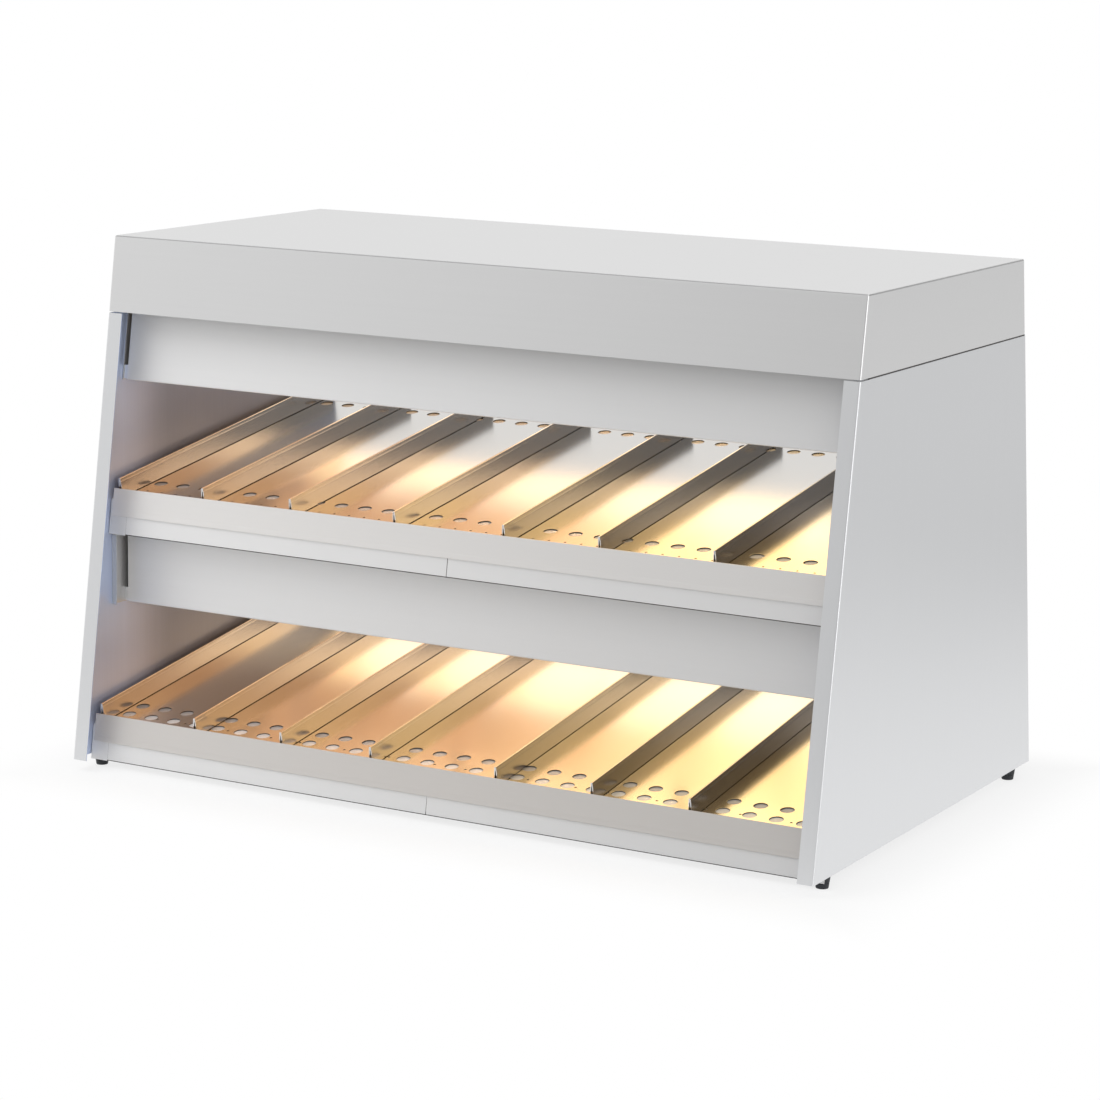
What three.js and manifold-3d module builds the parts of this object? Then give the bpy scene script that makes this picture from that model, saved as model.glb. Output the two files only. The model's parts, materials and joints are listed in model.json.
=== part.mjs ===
// A heated two-tier food chute merchandiser for a shop counter. Its front and its back lean inwards by the
// same angle. Staff load it from the open rear, and customers take the food from the front. Each tier is a
// sloping perforated deck with an upturned lip, divided into lanes under a lamp canopy.
// Millimetres, +Z up. The origin is on the counter, under the middle of the cabinet, and the front faces -Y.

import * as THREE from 'three';
import { mergeVertices } from 'three/addons/utils/BufferGeometryUtils.js';
import Module from 'manifold-3d';

const wasm = await Module();
wasm.setup();

// Cabinet: side panels and cap.
const cabinetWidth = 1200;
const baseDepth = 770;
const bodyHeight = 765;
const leanDegrees = 8.3;
const panelSheet = 1.5;
const stileWidth = 24;
const footFlangeWidth = 24;
const footFlangeRecess = 43;
const capHeight = 110;
const capSheet = 1.5;
const capSeam = 2;
const capReturn = 12;
const seat = 0.3;
const overrun = 5;

// Feet.
const footHeight = 17;
const footTopDiameter = 22;
const footBottomDiameter = 17;
const footRecess = 55;
const footSides = 20;

// The upper deck and the two fascias' lower edges, as shares of the body's height.
const tierPitchShare = 0.434;
const upperFasciaShare = 0.7203;
const lowerFasciaShare = 0.2837;

// Decks: the height of the surface at the lip is above the side panels' lower edge.
const lowerDeckHeight = 46;
const deckSheet = 1.2;
const deckSideGap = 5.5;
const deckRearRecess = 22;
const lipRecess = 38.5;
const lipRise = 15;
const lipDrop = 25.5;
const lipThickness = 2.4;

// Holes in the decks. Distances are along the slope from the lip, and insets from the side faces.
const holeDiameter = 20;
const holePitch = 40;
const holeSides = 8;
const holeLeftInset = 33;
const holeRightInset = 60;
const frontLeftHoles = 16;
const rearLeftHoles = 12;
const frontRowDistance = 85;
const secondRowDistance = 50.5;
const rearRowInset = 50;
const pinHoleDiameter = 3.6;
const pinHolePitch = 25.3;
const pinHoleInset = 35.2;
const pinHoleDistance = 48;
const pinHoleSides = 4;

// Front rails, which show below the lips, and rear rails.
const railSheet = 1.2;
const railEndGap = 0.8;
const railDrop = 53;
const railTopFlange = 66;
const railBottomFlange = 15;
const railNotch = 30;
const railSplit = 584;
const railSplitGap = 0.8;
const rearRailInset = 15;
const rearRailWidth = 22;
const rearRailDrop = 15;

// Side supports and base plates, which lie right under the decks and show through the holes.
const supportSheet = 1.2;
const supportFlange = 18;
const supportHeight = 30;
const supportStart = 76;
const supportRearInset = 14;
const plateSheet = 1.2;
const plateGap = 0.8;

// Dividers. The table holds their middles as shares of the cabinet's width, from the left.
const dividerHeight = 29;
const dividerFootWidth = 6.5;
const dividerTopWidth = 3.5;
const dividerSheet = 1;
const dividerFrontDistance = 10;
const dividerRearInset = 8;
const upperDividerShares = [0.0119, 0.1354, 0.2625, 0.4085, 0.5567, 0.6825, 0.8285, 0.9881];
const lowerDividerShares = [0.0119, 0.151, 0.2769, 0.4035, 0.5744, 0.701, 0.826, 0.9881];

// Lamp canopies: fascias, end brackets, reflectors. Distances are from the panels' front lower corner.
const fasciaSheet = 1.2;
const fasciaReturn = 14;
const fasciaRecess = 45;
const fasciaEndGap = 0.3;
const upperFasciaLap = 30;
const lowerFasciaDistance = 125;
const bracketSheet = 1.2;
const bracketFlange = 8;
const bracketLedge = 14;
const bracketRearRecess = 44;
const lowerBracketDistance = 97;
const lowerCanopyDrop = 56;
const canopySheet = 1.2;
const canopyUpstand = 20;
const canopyRearRecess = 46;
const mouthStart = 120;
const mouthWidth = 270;
const reflectorTopWidth = 120;
const reflectorHeight = 55;

// Quartz lamps and their holders.
const lampDiameter = 10;
const lampLength = 360;
const lampHeight = 26;
const lampSides = 12;
const holderLength = 16;
const holderDepth = 24;
const holderBelowAxis = 10;

// Terminal box in the cap.
const terminalLength = 160;
const terminalDepth = 90;
const terminalHeight = 36;

// Controls on the rear of the cap.
const controlEndInset = 220;
const controlLength = 320;
const controlHeight = 80;
const controlSheet = 1.2;
const controlWindowMargin = 10;
const switchPitch = 40;
const switchOffset = 105;
const switchWidth = 14;
const switchHeight = 22;
const rockerWidth = 13.4;
const rockerHeight = 18;
const rockerDepth = 10;
const rockerProud = 3;
const rockerDish = 1.2;
const rockerRestDegrees = 8;
const knobPitch = 70;
const knobOffset = 30;
const knobDiameter = 36;
const knobTopDiameter = 32;
const knobHeight = 16;
const knobGap = 0.6;
const knobShaftDiameter = 6;
const knobShaftLength = 14;
const knobShaftHole = 6.8;
const knobRidgeWidth = 5;
const knobRidgeHeight = 4;
const knobSides = 24;
const glandOffset = 120;
const glandNutDiameter = 28;
const glandNutHeight = 6;
const glandBodyDiameter = 20;
const glandBodyHeight = 18;
const glandBoreDiameter = 10;

// Worked out from the sizes above.
const halfWidth = cabinetWidth / 2;
const halfDepth = baseDepth / 2;
const lean = THREE.MathUtils.degToRad(leanDegrees);
const slope = Math.tan(lean);
const topHeight = footHeight + bodyHeight;
const capBottom = topHeight - capHeight;
const panelTop = capBottom - capSeam;
const tierPitch = bodyHeight * tierPitchShare;
const controlOffset = halfWidth - controlEndInset;

const tiers = {
  lower: { name: 'lower', shares: lowerDividerShares, deckHeight: footHeight + lowerDeckHeight },
  upper: { name: 'upper', shares: upperDividerShares, deckHeight: footHeight + lowerDeckHeight + tierPitch },
};

const brushedSteel = new THREE.MeshStandardMaterial({ color: 0xc9c7c4, roughness: 0.35, metalness: 0.9 });
const deckSteel = new THREE.MeshStandardMaterial({ color: 0xd8cfc0, roughness: 0.3, metalness: 0.9 });
const plainSteel = new THREE.MeshStandardMaterial({ color: 0xa9aaac, roughness: 0.45, metalness: 0.9 });
const reflectorSteel = new THREE.MeshStandardMaterial({ color: 0xe2e0dc, roughness: 0.2, metalness: 1 });
const quartz = new THREE.MeshStandardMaterial({ color: 0xffd9a0, roughness: 0.1, metalness: 0 });
const ceramic = new THREE.MeshStandardMaterial({ color: 0xece7dc, roughness: 0.6, metalness: 0 });
const blackPlastic = new THREE.MeshStandardMaterial({ color: 0x17181a, roughness: 0.5, metalness: 0 });
const blackRubber = new THREE.MeshStandardMaterial({ color: 0x101114, roughness: 0.8, metalness: 0 });

const group = new THREE.Group();

// Solids and shapes.

function toSolid(geometry) {
  const bare = geometry.clone();
  bare.deleteAttribute('normal');
  bare.deleteAttribute('uv');
  const merged = mergeVertices(bare);
  return new wasm.Manifold(new wasm.Mesh({
    numProp: 3,
    vertProperties: new Float32Array(merged.attributes.position.array),
    triVerts: new Uint32Array(merged.index.array),
  }));
}

function toGeometry(solid) {
  const mesh = solid.getMesh();
  const geometry = new THREE.BufferGeometry();
  geometry.setAttribute('position', new THREE.BufferAttribute(mesh.vertProperties, 3));
  geometry.setIndex(new THREE.BufferAttribute(mesh.triVerts, 1));
  geometry.computeVertexNormals();
  return geometry;
}

function join(...geometries) {
  return toGeometry(geometries.map(toSolid).reduce((whole, piece) => whole.add(piece)));
}

function cut(body, ...tools) {
  return toGeometry(tools.map(toSolid).reduce((whole, tool) => whole.subtract(tool), toSolid(body)));
}

function shapeOf(points) {
  return new THREE.Shape(points.map(([a, b]) => new THREE.Vector2(a, b)));
}

// An outline in the side view, as [y, z] points, carried across the cabinet from one x to another.
function across(points, xStart, xEnd) {
  const geometry = new THREE.ExtrudeGeometry(shapeOf(points), { depth: xEnd - xStart, bevelEnabled: false });
  const axes = new THREE.Matrix4().makeBasis(
    new THREE.Vector3(0, 1, 0),
    new THREE.Vector3(0, 0, 1),
    new THREE.Vector3(1, 0, 0),
  );
  return geometry.applyMatrix4(axes).translate(xStart, 0, 0);
}

// A shape in the front view, as x and z, carried along y.
function along(shape, yStart, yEnd) {
  const geometry = new THREE.ExtrudeGeometry(shape, { depth: yEnd - yStart, bevelEnabled: false });
  return geometry.rotateX(Math.PI / 2).translate(0, yEnd, 0);
}

function block(xStart, xEnd, yStart, yEnd, zStart, zEnd) {
  const geometry = new THREE.BoxGeometry(xEnd - xStart, yEnd - yStart, zEnd - zStart);
  return geometry.translate((xStart + xEnd) / 2, (yStart + yEnd) / 2, (zStart + zEnd) / 2);
}

// The closed outline of a sheet that follows a bent line, with its thickness on the line's left.
function folded(line, thickness) {
  const unit = (a, b) => {
    const length = Math.hypot(b[0] - a[0], b[1] - a[1]);
    return [(b[0] - a[0]) / length, (b[1] - a[1]) / length];
  };
  const inner = line.map((point, i) => {
    const before = unit(line[Math.max(i - 1, 0)], line[Math.max(i, 1)]);
    const after = unit(line[Math.min(i, line.length - 2)], line[Math.min(i + 1, line.length - 1)]);
    const reach = thickness / (1 + before[0] * after[0] + before[1] * after[1]);
    return [point[0] - (before[1] + after[1]) * reach, point[1] + (before[0] + after[0]) * reach];
  });
  return [...line, ...inner.reverse()];
}

// Two x values from distances in from the left (-1) or the right (1) side face.
function fromSide(side, near, far) {
  return side < 0 ? [near - halfWidth, far - halfWidth] : [halfWidth - far, halfWidth - near];
}

// The leaning front and back planes, and the slope that the decks follow.

function frontY(z, recess) {
  return recess - halfDepth + (z - footHeight) * slope;
}

function backY(z, recess) {
  return halfDepth - recess - (z - footHeight) * slope;
}

function frontPoint(z, recess) {
  return [frontY(z, recess), z];
}

function backPoint(z, recess) {
  return [backY(z, recess), z];
}

function slopeOrigin(tier) {
  return frontPoint(tier.deckHeight, lipRecess);
}

// A point at a distance along a tier's slope and a height above its deck.
function slopePoint(tier, distance, above) {
  const [y, z] = slopeOrigin(tier);
  return [
    y + distance * Math.cos(lean) - above * Math.sin(lean),
    z + distance * Math.sin(lean) + above * Math.cos(lean),
  ];
}

// How far along a tier's slope, at a height above its deck, a given y lies.
function distanceAtY(tier, y, above) {
  return (y - slopeOrigin(tier)[0] + above * Math.sin(lean)) / Math.cos(lean);
}

// The same for a plane that leans inwards: the front plane (1) or the back plane (-1).
function distanceAtPlane(tier, facing, recess, above) {
  const [y, z] = slopePoint(tier, 0, above);
  const planeY = facing > 0 ? frontY(z, recess) : backY(z, recess);
  return (planeY - y) / (Math.cos(lean) - facing * slope * Math.sin(lean));
}

function deckLength(tier) {
  return distanceAtPlane(tier, -1, deckRearRecess, 0);
}

function add(name, geometry, material, parent = group) {
  const mesh = new THREE.Mesh(geometry, material);
  mesh.name = name;
  parent.add(mesh);
  return mesh;
}

// A group whose y axis runs up the slope from the lip of a tier and whose z axis is square to its deck.
function slopeGroup(tier) {
  const [y, z] = slopeOrigin(tier);
  const frame = new THREE.Group();
  frame.position.set(0, y, z);
  frame.rotation.x = lean;
  group.add(frame);
  return frame;
}

// Cabinet.

function sidePanel(name, side) {
  const web = across([
    frontPoint(footHeight, 0),
    backPoint(footHeight, 0),
    backPoint(panelTop, 0),
    frontPoint(panelTop, 0),
  ], ...fromSide(side, 0, panelSheet));
  const stile = across([
    frontPoint(footHeight, 0),
    frontPoint(footHeight, panelSheet),
    frontPoint(panelTop, panelSheet),
    frontPoint(panelTop, 0),
  ], ...fromSide(side, 0, stileWidth));
  const flangeTop = footHeight + panelSheet;
  const flange = across([
    frontPoint(footHeight, footFlangeRecess),
    backPoint(footHeight, 0),
    backPoint(flangeTop, 0),
    frontPoint(flangeTop, footFlangeRecess),
  ], ...fromSide(side, 0, footFlangeWidth));
  add(name, join(web, stile, flange), brushedSteel);
}

function cap() {
  const shell = (zBottom, zTop, sideInset, inset) => across([
    frontPoint(zBottom, inset),
    backPoint(zBottom, inset),
    backPoint(zTop, inset),
    frontPoint(zTop, inset),
  ], sideInset - halfWidth, halfWidth - sideInset);
  const body = shell(capBottom, topHeight, 0, 0);
  const hollow = shell(capBottom + capSheet, topHeight - capSheet, capSheet, capSheet);
  const mouth = shell(capBottom - overrun, topHeight - capHeight / 2, capSheet, capReturn + capSheet);
  const margin = controlWindowMargin;
  const window = block(
    margin - controlLength / 2,
    controlLength / 2 - margin,
    -capSheet - overrun,
    overrun,
    margin - controlHeight / 2,
    controlHeight / 2 - margin,
  ).applyMatrix4(controlGroup.matrix);
  add('cap', cut(body, hollow, mouth, window), brushedSteel);
}

function foot(name, side, facing) {
  const points = [
    [0, 0],
    [footBottomDiameter / 2, 0],
    [footTopDiameter / 2, footHeight],
    [0, footHeight],
  ].map(([radius, z]) => new THREE.Vector2(radius, z));
  const mesh = add(name, new THREE.LatheGeometry(points, footSides).rotateX(Math.PI / 2), blackRubber);
  mesh.position.set(side * (halfWidth - footFlangeWidth / 2), -facing * (halfDepth - footRecess), 0);
}

// Tiers.

function drill(x, distance, diameter, sides) {
  const radius = diameter / 2;
  const tool = new THREE.CylinderGeometry(radius, radius, deckSheet + 2 * overrun, sides);
  return tool.rotateX(Math.PI / 2).rotateZ(Math.PI / sides).translate(x, distance, 0);
}

// A row of holes is punched from both ends, and the two runs meet out of step.
function rowPlaces(leftCount) {
  const places = [];
  for (let i = 0; i < leftCount; i += 1) {
    places.push(holeLeftInset + i * holePitch - halfWidth);
  }
  const last = places[places.length - 1];
  for (let x = halfWidth - holeRightInset; x > last + holePitch; x -= holePitch) {
    places.push(x);
  }
  return places;
}

function pinPlaces() {
  const places = [];
  for (let x = pinHoleInset - halfWidth; x <= halfWidth - pinHoleInset; x += pinHolePitch) {
    places.push(x);
  }
  return places;
}

// Locating holes are left out of a deck where they would run into its second row of large holes.
function deckHoles(tier) {
  const large = (distance, leftCount) => rowPlaces(leftCount).map((x) => [x, distance]);
  const holes = [
    ...large(frontRowDistance, frontLeftHoles),
    ...large(deckLength(tier) - rearRowInset, rearLeftHoles),
  ];
  if (tier.name === 'lower') {
    holes.push(...large(secondRowDistance, frontLeftHoles));
  }
  const apart = (holeDiameter + pinHoleDiameter) / 2 + deckSheet;
  const pins = pinPlaces()
    .map((x) => [x, pinHoleDistance])
    .filter((pin) => holes.every((hole) => Math.hypot(pin[0] - hole[0], pin[1] - hole[1]) > apart));
  return [
    ...holes.map(([x, distance]) => drill(x, distance, holeDiameter, holeSides)),
    ...pins.map(([x, distance]) => drill(x, distance, pinHoleDiameter, pinHoleSides)),
  ];
}

function deck(tier) {
  const reach = halfWidth - panelSheet - deckSideGap;
  const start = distanceAtPlane(tier, 1, lipRecess + lipThickness / 2, 0);
  const sheet = block(-reach, reach, start, deckLength(tier), -deckSheet, 0);
  const plate = cut(sheet, ...deckHoles(tier)).applyMatrix4(tier.frame.matrix);
  const lipTop = tier.deckHeight + lipRise;
  const lipBottom = tier.deckHeight - lipDrop;
  const lip = across([
    frontPoint(lipBottom, lipRecess),
    frontPoint(lipBottom, lipRecess + lipThickness),
    frontPoint(lipTop, lipRecess + lipThickness),
    frontPoint(lipTop, lipRecess),
  ], -reach, reach);
  add(`${tier.name}_deck`, join(plate, lip), deckSteel);
}

// A front rail is a channel behind the lip. Its top flange lies under the deck, and its face shows below.
// Its bottom flange stops short of the side panel, where the foot is.
function frontRail(tier, side) {
  const end = halfWidth - panelSheet - railEndGap;
  const split = railSplit - halfWidth + (side * railSplitGap) / 2;
  const recess = lipRecess + lipThickness + seat;
  const under = -deckSheet - seat;
  const corner = distanceAtPlane(tier, 1, recess, under);
  const bottom = tier.deckHeight - railDrop;
  const face = folded([
    slopePoint(tier, corner + railTopFlange, under),
    slopePoint(tier, corner, under),
    frontPoint(bottom, recess),
  ], railSheet);
  const flange = [
    frontPoint(bottom, recess),
    frontPoint(bottom, recess + railBottomFlange),
    frontPoint(bottom + railSheet, recess + railBottomFlange),
    frontPoint(bottom + railSheet, recess),
  ];
  const span = (inset) => [side * (end - inset), split].sort((low, high) => low - high);
  const rail = join(across(face, ...span(0)), across(flange, ...span(railNotch)));
  add(`${tier.name}_front_rail_${side < 0 ? 'left' : 'right'}`, rail, brushedSteel);
}

function rearRail(tier) {
  const rear = deckLength(tier) - rearRailInset;
  const front = rear - rearRailWidth;
  const top = -deckSheet - seat;
  const line = [[rear, top - rearRailDrop], [rear, top], [front, top], [front, top - rearRailDrop]];
  const reach = supportReach();
  add(`${tier.name}_rear_rail`, across(folded(line, railSheet), -reach, reach), plainSteel, tier.frame);
}

// A support is an angle on the side panel whose flange carries the deck's edge.
function support(tier, name, side) {
  const [outer, inner] = [panelSheet + seat, panelSheet + seat + supportFlange];
  const top = -deckSheet - seat;
  const x = (distance) => side * (halfWidth - distance);
  const line = [[x(inner), top], [x(outer), top], [x(outer), top - supportHeight]];
  const outline = folded(side < 0 ? line : line.reverse(), supportSheet);
  const rear = deckLength(tier) - supportRearInset;
  add(`${tier.name}_${name}`, along(shapeOf(outline), supportStart, rear), plainSteel, tier.frame);
}

function supportReach() {
  return halfWidth - panelSheet - seat - supportFlange - seat;
}

// The base plate fills the space between the supports, from the front rails' top flanges to the rear rail.
function basePlate(tier) {
  const under = -deckSheet - seat;
  const corner = distanceAtPlane(tier, 1, lipRecess + lipThickness + seat, under);
  const start = corner + railTopFlange + seat;
  const end = deckLength(tier) - rearRailInset - rearRailWidth - seat;
  const top = -deckSheet - plateGap;
  const plate = block(-supportReach(), supportReach(), start, end, top - plateSheet, top);
  add(`${tier.name}_base_plate`, plate, plainSteel, tier.frame);
}

// A divider is an inverted fold of sheet, open underneath, with both ends open.
function dividerShape() {
  const foot = dividerFootWidth / 2;
  const top = dividerTopWidth / 2;
  const innerTop = dividerHeight - dividerSheet;
  return shapeOf([
    [-foot, 0],
    [dividerSheet - foot, 0],
    [dividerSheet - top, innerTop],
    [top - dividerSheet, innerTop],
    [foot - dividerSheet, 0],
    [foot, 0],
    [top, dividerHeight],
    [-top, dividerHeight],
  ]);
}

function dividers(tier) {
  const rear = deckLength(tier) - dividerRearInset;
  tier.shares.forEach((share, i) => {
    const geometry = along(dividerShape(), dividerFrontDistance, rear);
    const mesh = add(`${tier.name}_divider_${i + 1}`, geometry, deckSteel, tier.frame);
    mesh.position.set(share * cabinetWidth - halfWidth, 0, seat);
  });
}

// Lamp canopies.

function fascia(tier, height, line) {
  const end = panelSheet + seat + bracketFlange + fasciaEndGap;
  const outline = folded(line, fasciaSheet);
  add(`${tier.name}_fascia`, across(outline, end - halfWidth, halfWidth - end), brushedSteel);
}

// The y of a fascia's front face at a height: the upper one leans with the front, the lower one is upright.
function fasciaY(tier, z) {
  return tier.name === 'upper' ? frontY(z, fasciaRecess) : lowerFasciaDistance - halfDepth;
}

function canopyBase(tier) {
  const share = tier.name === 'upper' ? upperFasciaShare : lowerFasciaShare;
  return footHeight + bodyHeight * share;
}

// The canopy's underside runs level from its fascia's lower edge to the rear.
function canopyPoint(tier, distance, above) {
  const z = canopyBase(tier) + fasciaSheet + seat;
  return [fasciaY(tier, z) + fasciaSheet + seat + distance, z + above];
}

function canopyLength(tier, recess) {
  const [y, z] = canopyPoint(tier, 0, 0);
  return backY(z, recess) - y;
}

// The line that the lower canopy's fascia, brackets and rear stay below, parallel to the upper deck.
function lowerCanopyTop(y) {
  return slopePoint(tiers.upper, distanceAtY(tiers.upper, y, -lowerCanopyDrop), -lowerCanopyDrop);
}

function upperFascia() {
  const tier = tiers.upper;
  const bottom = canopyBase(tier);
  const top = capBottom + upperFasciaLap;
  fascia(tier, top, [
    [fasciaY(tier, top), top],
    [fasciaY(tier, bottom), bottom],
    [fasciaY(tier, bottom) + fasciaReturn, bottom],
  ]);
}

function lowerFascia() {
  const tier = tiers.lower;
  const bottom = canopyBase(tier);
  const y = fasciaY(tier, bottom);
  fascia(tier, bottom, [
    lowerCanopyTop(y),
    [y, bottom],
    [y + fasciaReturn, bottom],
  ]);
}

// A reflector is one sheet: front upstand, flat, raised trough over the lamp, flat, rear wall.
function reflector(tier) {
  const length = canopyLength(tier, canopyRearRecess);
  const [, baseZ] = canopyPoint(tier, 0, 0);
  const upstandZ = baseZ + canopyUpstand;
  const upstandY = fasciaY(tier, upstandZ) + fasciaSheet + seat;
  const side = (mouthWidth - reflectorTopWidth) / 2;
  const rearPoint = canopyPoint(tier, length, 0);
  const rearTop = tier.name === 'upper'
    ? backPoint(capBottom + upperFasciaLap, canopyRearRecess)
    : lowerCanopyTop(backY(canopyBase(tiers.upper) - tierPitch / 2, canopyRearRecess));
  const line = [
    [upstandY, upstandZ],
    canopyPoint(tier, 0, 0),
    canopyPoint(tier, mouthStart, 0),
    canopyPoint(tier, mouthStart + side, reflectorHeight),
    canopyPoint(tier, mouthStart + mouthWidth - side, reflectorHeight),
    canopyPoint(tier, mouthStart + mouthWidth, 0),
    rearPoint,
    rearTop,
  ];
  const reach = halfWidth - panelSheet - seat - bracketSheet - seat;
  add(`${tier.name}_reflector`, across(folded(line, canopySheet), -reach, reach), reflectorSteel);
}

// An end bracket is a plate on the side panel with a ledge underneath. The lower canopy's stand forward of
// its fascia and have a narrow flange in front.
function bracket(tier, name, side, frontLine, top) {
  const [frontBottom, frontTop] = frontLine;
  const length = canopyLength(tier, bracketRearRecess);
  const rearBottom = canopyPoint(tier, length, -seat - bracketSheet);
  const web = across([frontBottom, rearBottom, ...top, frontTop],
    ...fromSide(side, panelSheet + seat, panelSheet + seat + bracketSheet));
  const flangeWidth = tier.name === 'upper' ? bracketSheet : bracketFlange;
  const flange = across([
    frontBottom,
    [frontBottom[0] + bracketSheet, frontBottom[1]],
    [frontTop[0] + bracketSheet, frontTop[1]],
    frontTop,
  ], ...fromSide(side, panelSheet + seat, panelSheet + seat + flangeWidth));
  const ledge = across([
    canopyPoint(tier, fasciaReturn + seat, -seat - bracketSheet),
    rearBottom,
    canopyPoint(tier, length, -seat),
    canopyPoint(tier, fasciaReturn + seat, -seat),
  ], ...fromSide(side, panelSheet + seat, panelSheet + seat + bracketLedge));
  add(`${tier.name}_${name}`, join(web, flange, ledge), plainSteel);
}

function upperBracket(name, side) {
  const bottom = canopyBase(tiers.upper);
  const top = topHeight - capSheet - seat;
  const recess = fasciaRecess;
  bracket(tiers.upper, name, side, [frontPoint(bottom, recess), frontPoint(top, recess)],
    [backPoint(top, bracketRearRecess)]);
}

function lowerBracket(name, side) {
  const y = lowerBracketDistance - halfDepth;
  const bottom = canopyBase(tiers.lower);
  const [, baseZ] = canopyPoint(tiers.lower, 0, 0);
  const rear = backY(baseZ, bracketRearRecess) - overrun;
  bracket(tiers.lower, name, side, [[y, bottom], lowerCanopyTop(y)], [lowerCanopyTop(rear)]);
}

function lamp(tier) {
  const middle = mouthStart + mouthWidth / 2;
  const [y, z] = canopyPoint(tier, middle, lampHeight);
  const tube = new THREE.CylinderGeometry(lampDiameter / 2, lampDiameter / 2, lampLength, lampSides);
  add(`${tier.name}_lamp`, tube.rotateZ(Math.PI / 2), quartz).position.set(0, y, z);
  const top = reflectorHeight - lampHeight - seat;
  [['left', -1], ['right', 1]].forEach(([name, side]) => {
    const near = side * (lampLength / 2 + seat);
    const far = side * (lampLength / 2 + seat + holderLength);
    const holder = block(
      Math.min(near, far),
      Math.max(near, far),
      -holderDepth / 2,
      holderDepth / 2,
      -holderBelowAxis,
      top,
    );
    add(`${tier.name}_lamp_holder_${name}`, holder, ceramic).position.set(0, y, z);
  });
}

function terminalBox() {
  const middle = mouthStart + mouthWidth / 2;
  const [y, z] = canopyPoint(tiers.upper, middle, reflectorHeight + canopySheet + seat);
  const box = block(
    -terminalLength / 2,
    terminalLength / 2,
    -terminalDepth / 2,
    terminalDepth / 2,
    0,
    terminalHeight,
  );
  const mesh = add('terminal_box', box, blackPlastic);
  mesh.position.set(controlOffset, y, z);
}

// Controls: a group on the cap's rear face, whose y axis points out of that face.
function makeControlGroup() {
  const frame = new THREE.Group();
  const z = capBottom + capHeight / 2;
  frame.position.set(controlOffset, backY(z, 0), z);
  frame.rotation.x = lean;
  frame.updateMatrix();
  group.add(frame);
  return frame;
}

const controlGroup = makeControlGroup();

function switchX(index) {
  return -switchOffset + (index - 0.5) * switchPitch;
}

function knobX(index) {
  return knobOffset + (index - 0.5) * knobPitch;
}

function controlPanel() {
  const plate = block(
    -controlLength / 2,
    controlLength / 2,
    seat,
    seat + controlSheet,
    -controlHeight / 2,
    controlHeight / 2,
  );
  const windows = [0, 1].map((index) => block(
    switchX(index) - switchWidth / 2,
    switchX(index) + switchWidth / 2,
    -overrun,
    controlSheet + overrun,
    -switchHeight / 2,
    switchHeight / 2,
  ));
  const shaftHoles = [0, 1].map((index) => new THREE.CylinderGeometry(
    knobShaftHole / 2,
    knobShaftHole / 2,
    controlSheet + 2 * overrun,
    knobSides / 2,
  ).translate(knobX(index), 0, 0));
  add('control_panel', cut(plate, ...windows, ...shaftHoles), brushedSteel, controlGroup);
}

// A rocker turns about the x axis, in the plane of the control panel. At rest its lower end is pressed in.
function rocker(name, index) {
  const half = rockerHeight / 2;
  const outline = [
    [-rockerDepth, -half / 2],
    [rockerProud, -half],
    [rockerProud - rockerDish, 0],
    [rockerProud, half],
    [-rockerDepth, half / 2],
  ];
  const mesh = add(name, across(outline, -rockerWidth / 2, rockerWidth / 2), blackPlastic, controlGroup);
  mesh.position.set(switchX(index), seat, 0);
  mesh.rotation.x = -THREE.MathUtils.degToRad(rockerRestDegrees);
}

function knob(name, index) {
  const face = seat + controlSheet + knobGap;
  const profile = [
    [0, face - knobShaftLength],
    [knobShaftDiameter / 2, face - knobShaftLength],
    [knobShaftDiameter / 2, face],
    [knobDiameter / 2, face],
    [knobTopDiameter / 2, face + knobHeight],
    [0, face + knobHeight],
  ].map(([radius, y]) => new THREE.Vector2(radius, y));
  const body = new THREE.LatheGeometry(profile, knobSides);
  const ridge = block(
    -knobRidgeWidth / 2,
    knobRidgeWidth / 2,
    face + knobHeight / 2,
    face + knobHeight + knobRidgeHeight,
    -knobTopDiameter / 2,
    knobTopDiameter / 2,
  );
  const mesh = add(name, join(body, ridge), blackPlastic, controlGroup);
  mesh.position.x = knobX(index);
}

function cableGland() {
  const face = seat + controlSheet + seat;
  const nut = new THREE.CylinderGeometry(glandNutDiameter / 2, glandNutDiameter / 2, glandNutHeight, 6);
  nut.translate(0, face + glandNutHeight / 2, 0);
  const body = new THREE.CylinderGeometry(
    glandBodyDiameter / 2,
    glandBodyDiameter / 2,
    glandBodyHeight,
    footSides,
  ).translate(0, face + glandBodyHeight / 2, 0);
  const bore = new THREE.CylinderGeometry(
    glandBoreDiameter / 2,
    glandBoreDiameter / 2,
    glandBodyHeight * 2 + overrun,
    footSides,
  );
  const mesh = add('cable_gland', cut(join(nut, body), bore), blackPlastic, controlGroup);
  mesh.position.x = glandOffset;
}

// The whole object.

Object.values(tiers).forEach((tier) => {
  tier.frame = slopeGroup(tier);
  tier.frame.updateMatrix();
});

sidePanel('side_panel_left', -1);
sidePanel('side_panel_right', 1);
cap();
foot('foot_front_left', -1, 1);
foot('foot_front_right', 1, 1);
foot('foot_rear_left', -1, -1);
foot('foot_rear_right', 1, -1);

Object.values(tiers).forEach((tier) => {
  deck(tier);
  frontRail(tier, -1);
  frontRail(tier, 1);
  rearRail(tier);
  dividers(tier);
  support(tier, 'support_left', -1);
  support(tier, 'support_right', 1);
  basePlate(tier);
  reflector(tier);
  lamp(tier);
});

upperFascia();
lowerFascia();
upperBracket('bracket_left', -1);
upperBracket('bracket_right', 1);
lowerBracket('bracket_left', -1);
lowerBracket('bracket_right', 1);
terminalBox();
controlPanel();
rocker('upper_rocker_switch', 0);
rocker('lower_rocker_switch', 1);
knob('upper_heat_knob', 0);
knob('lower_heat_knob', 1);
cableGland();

export default group;
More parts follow.
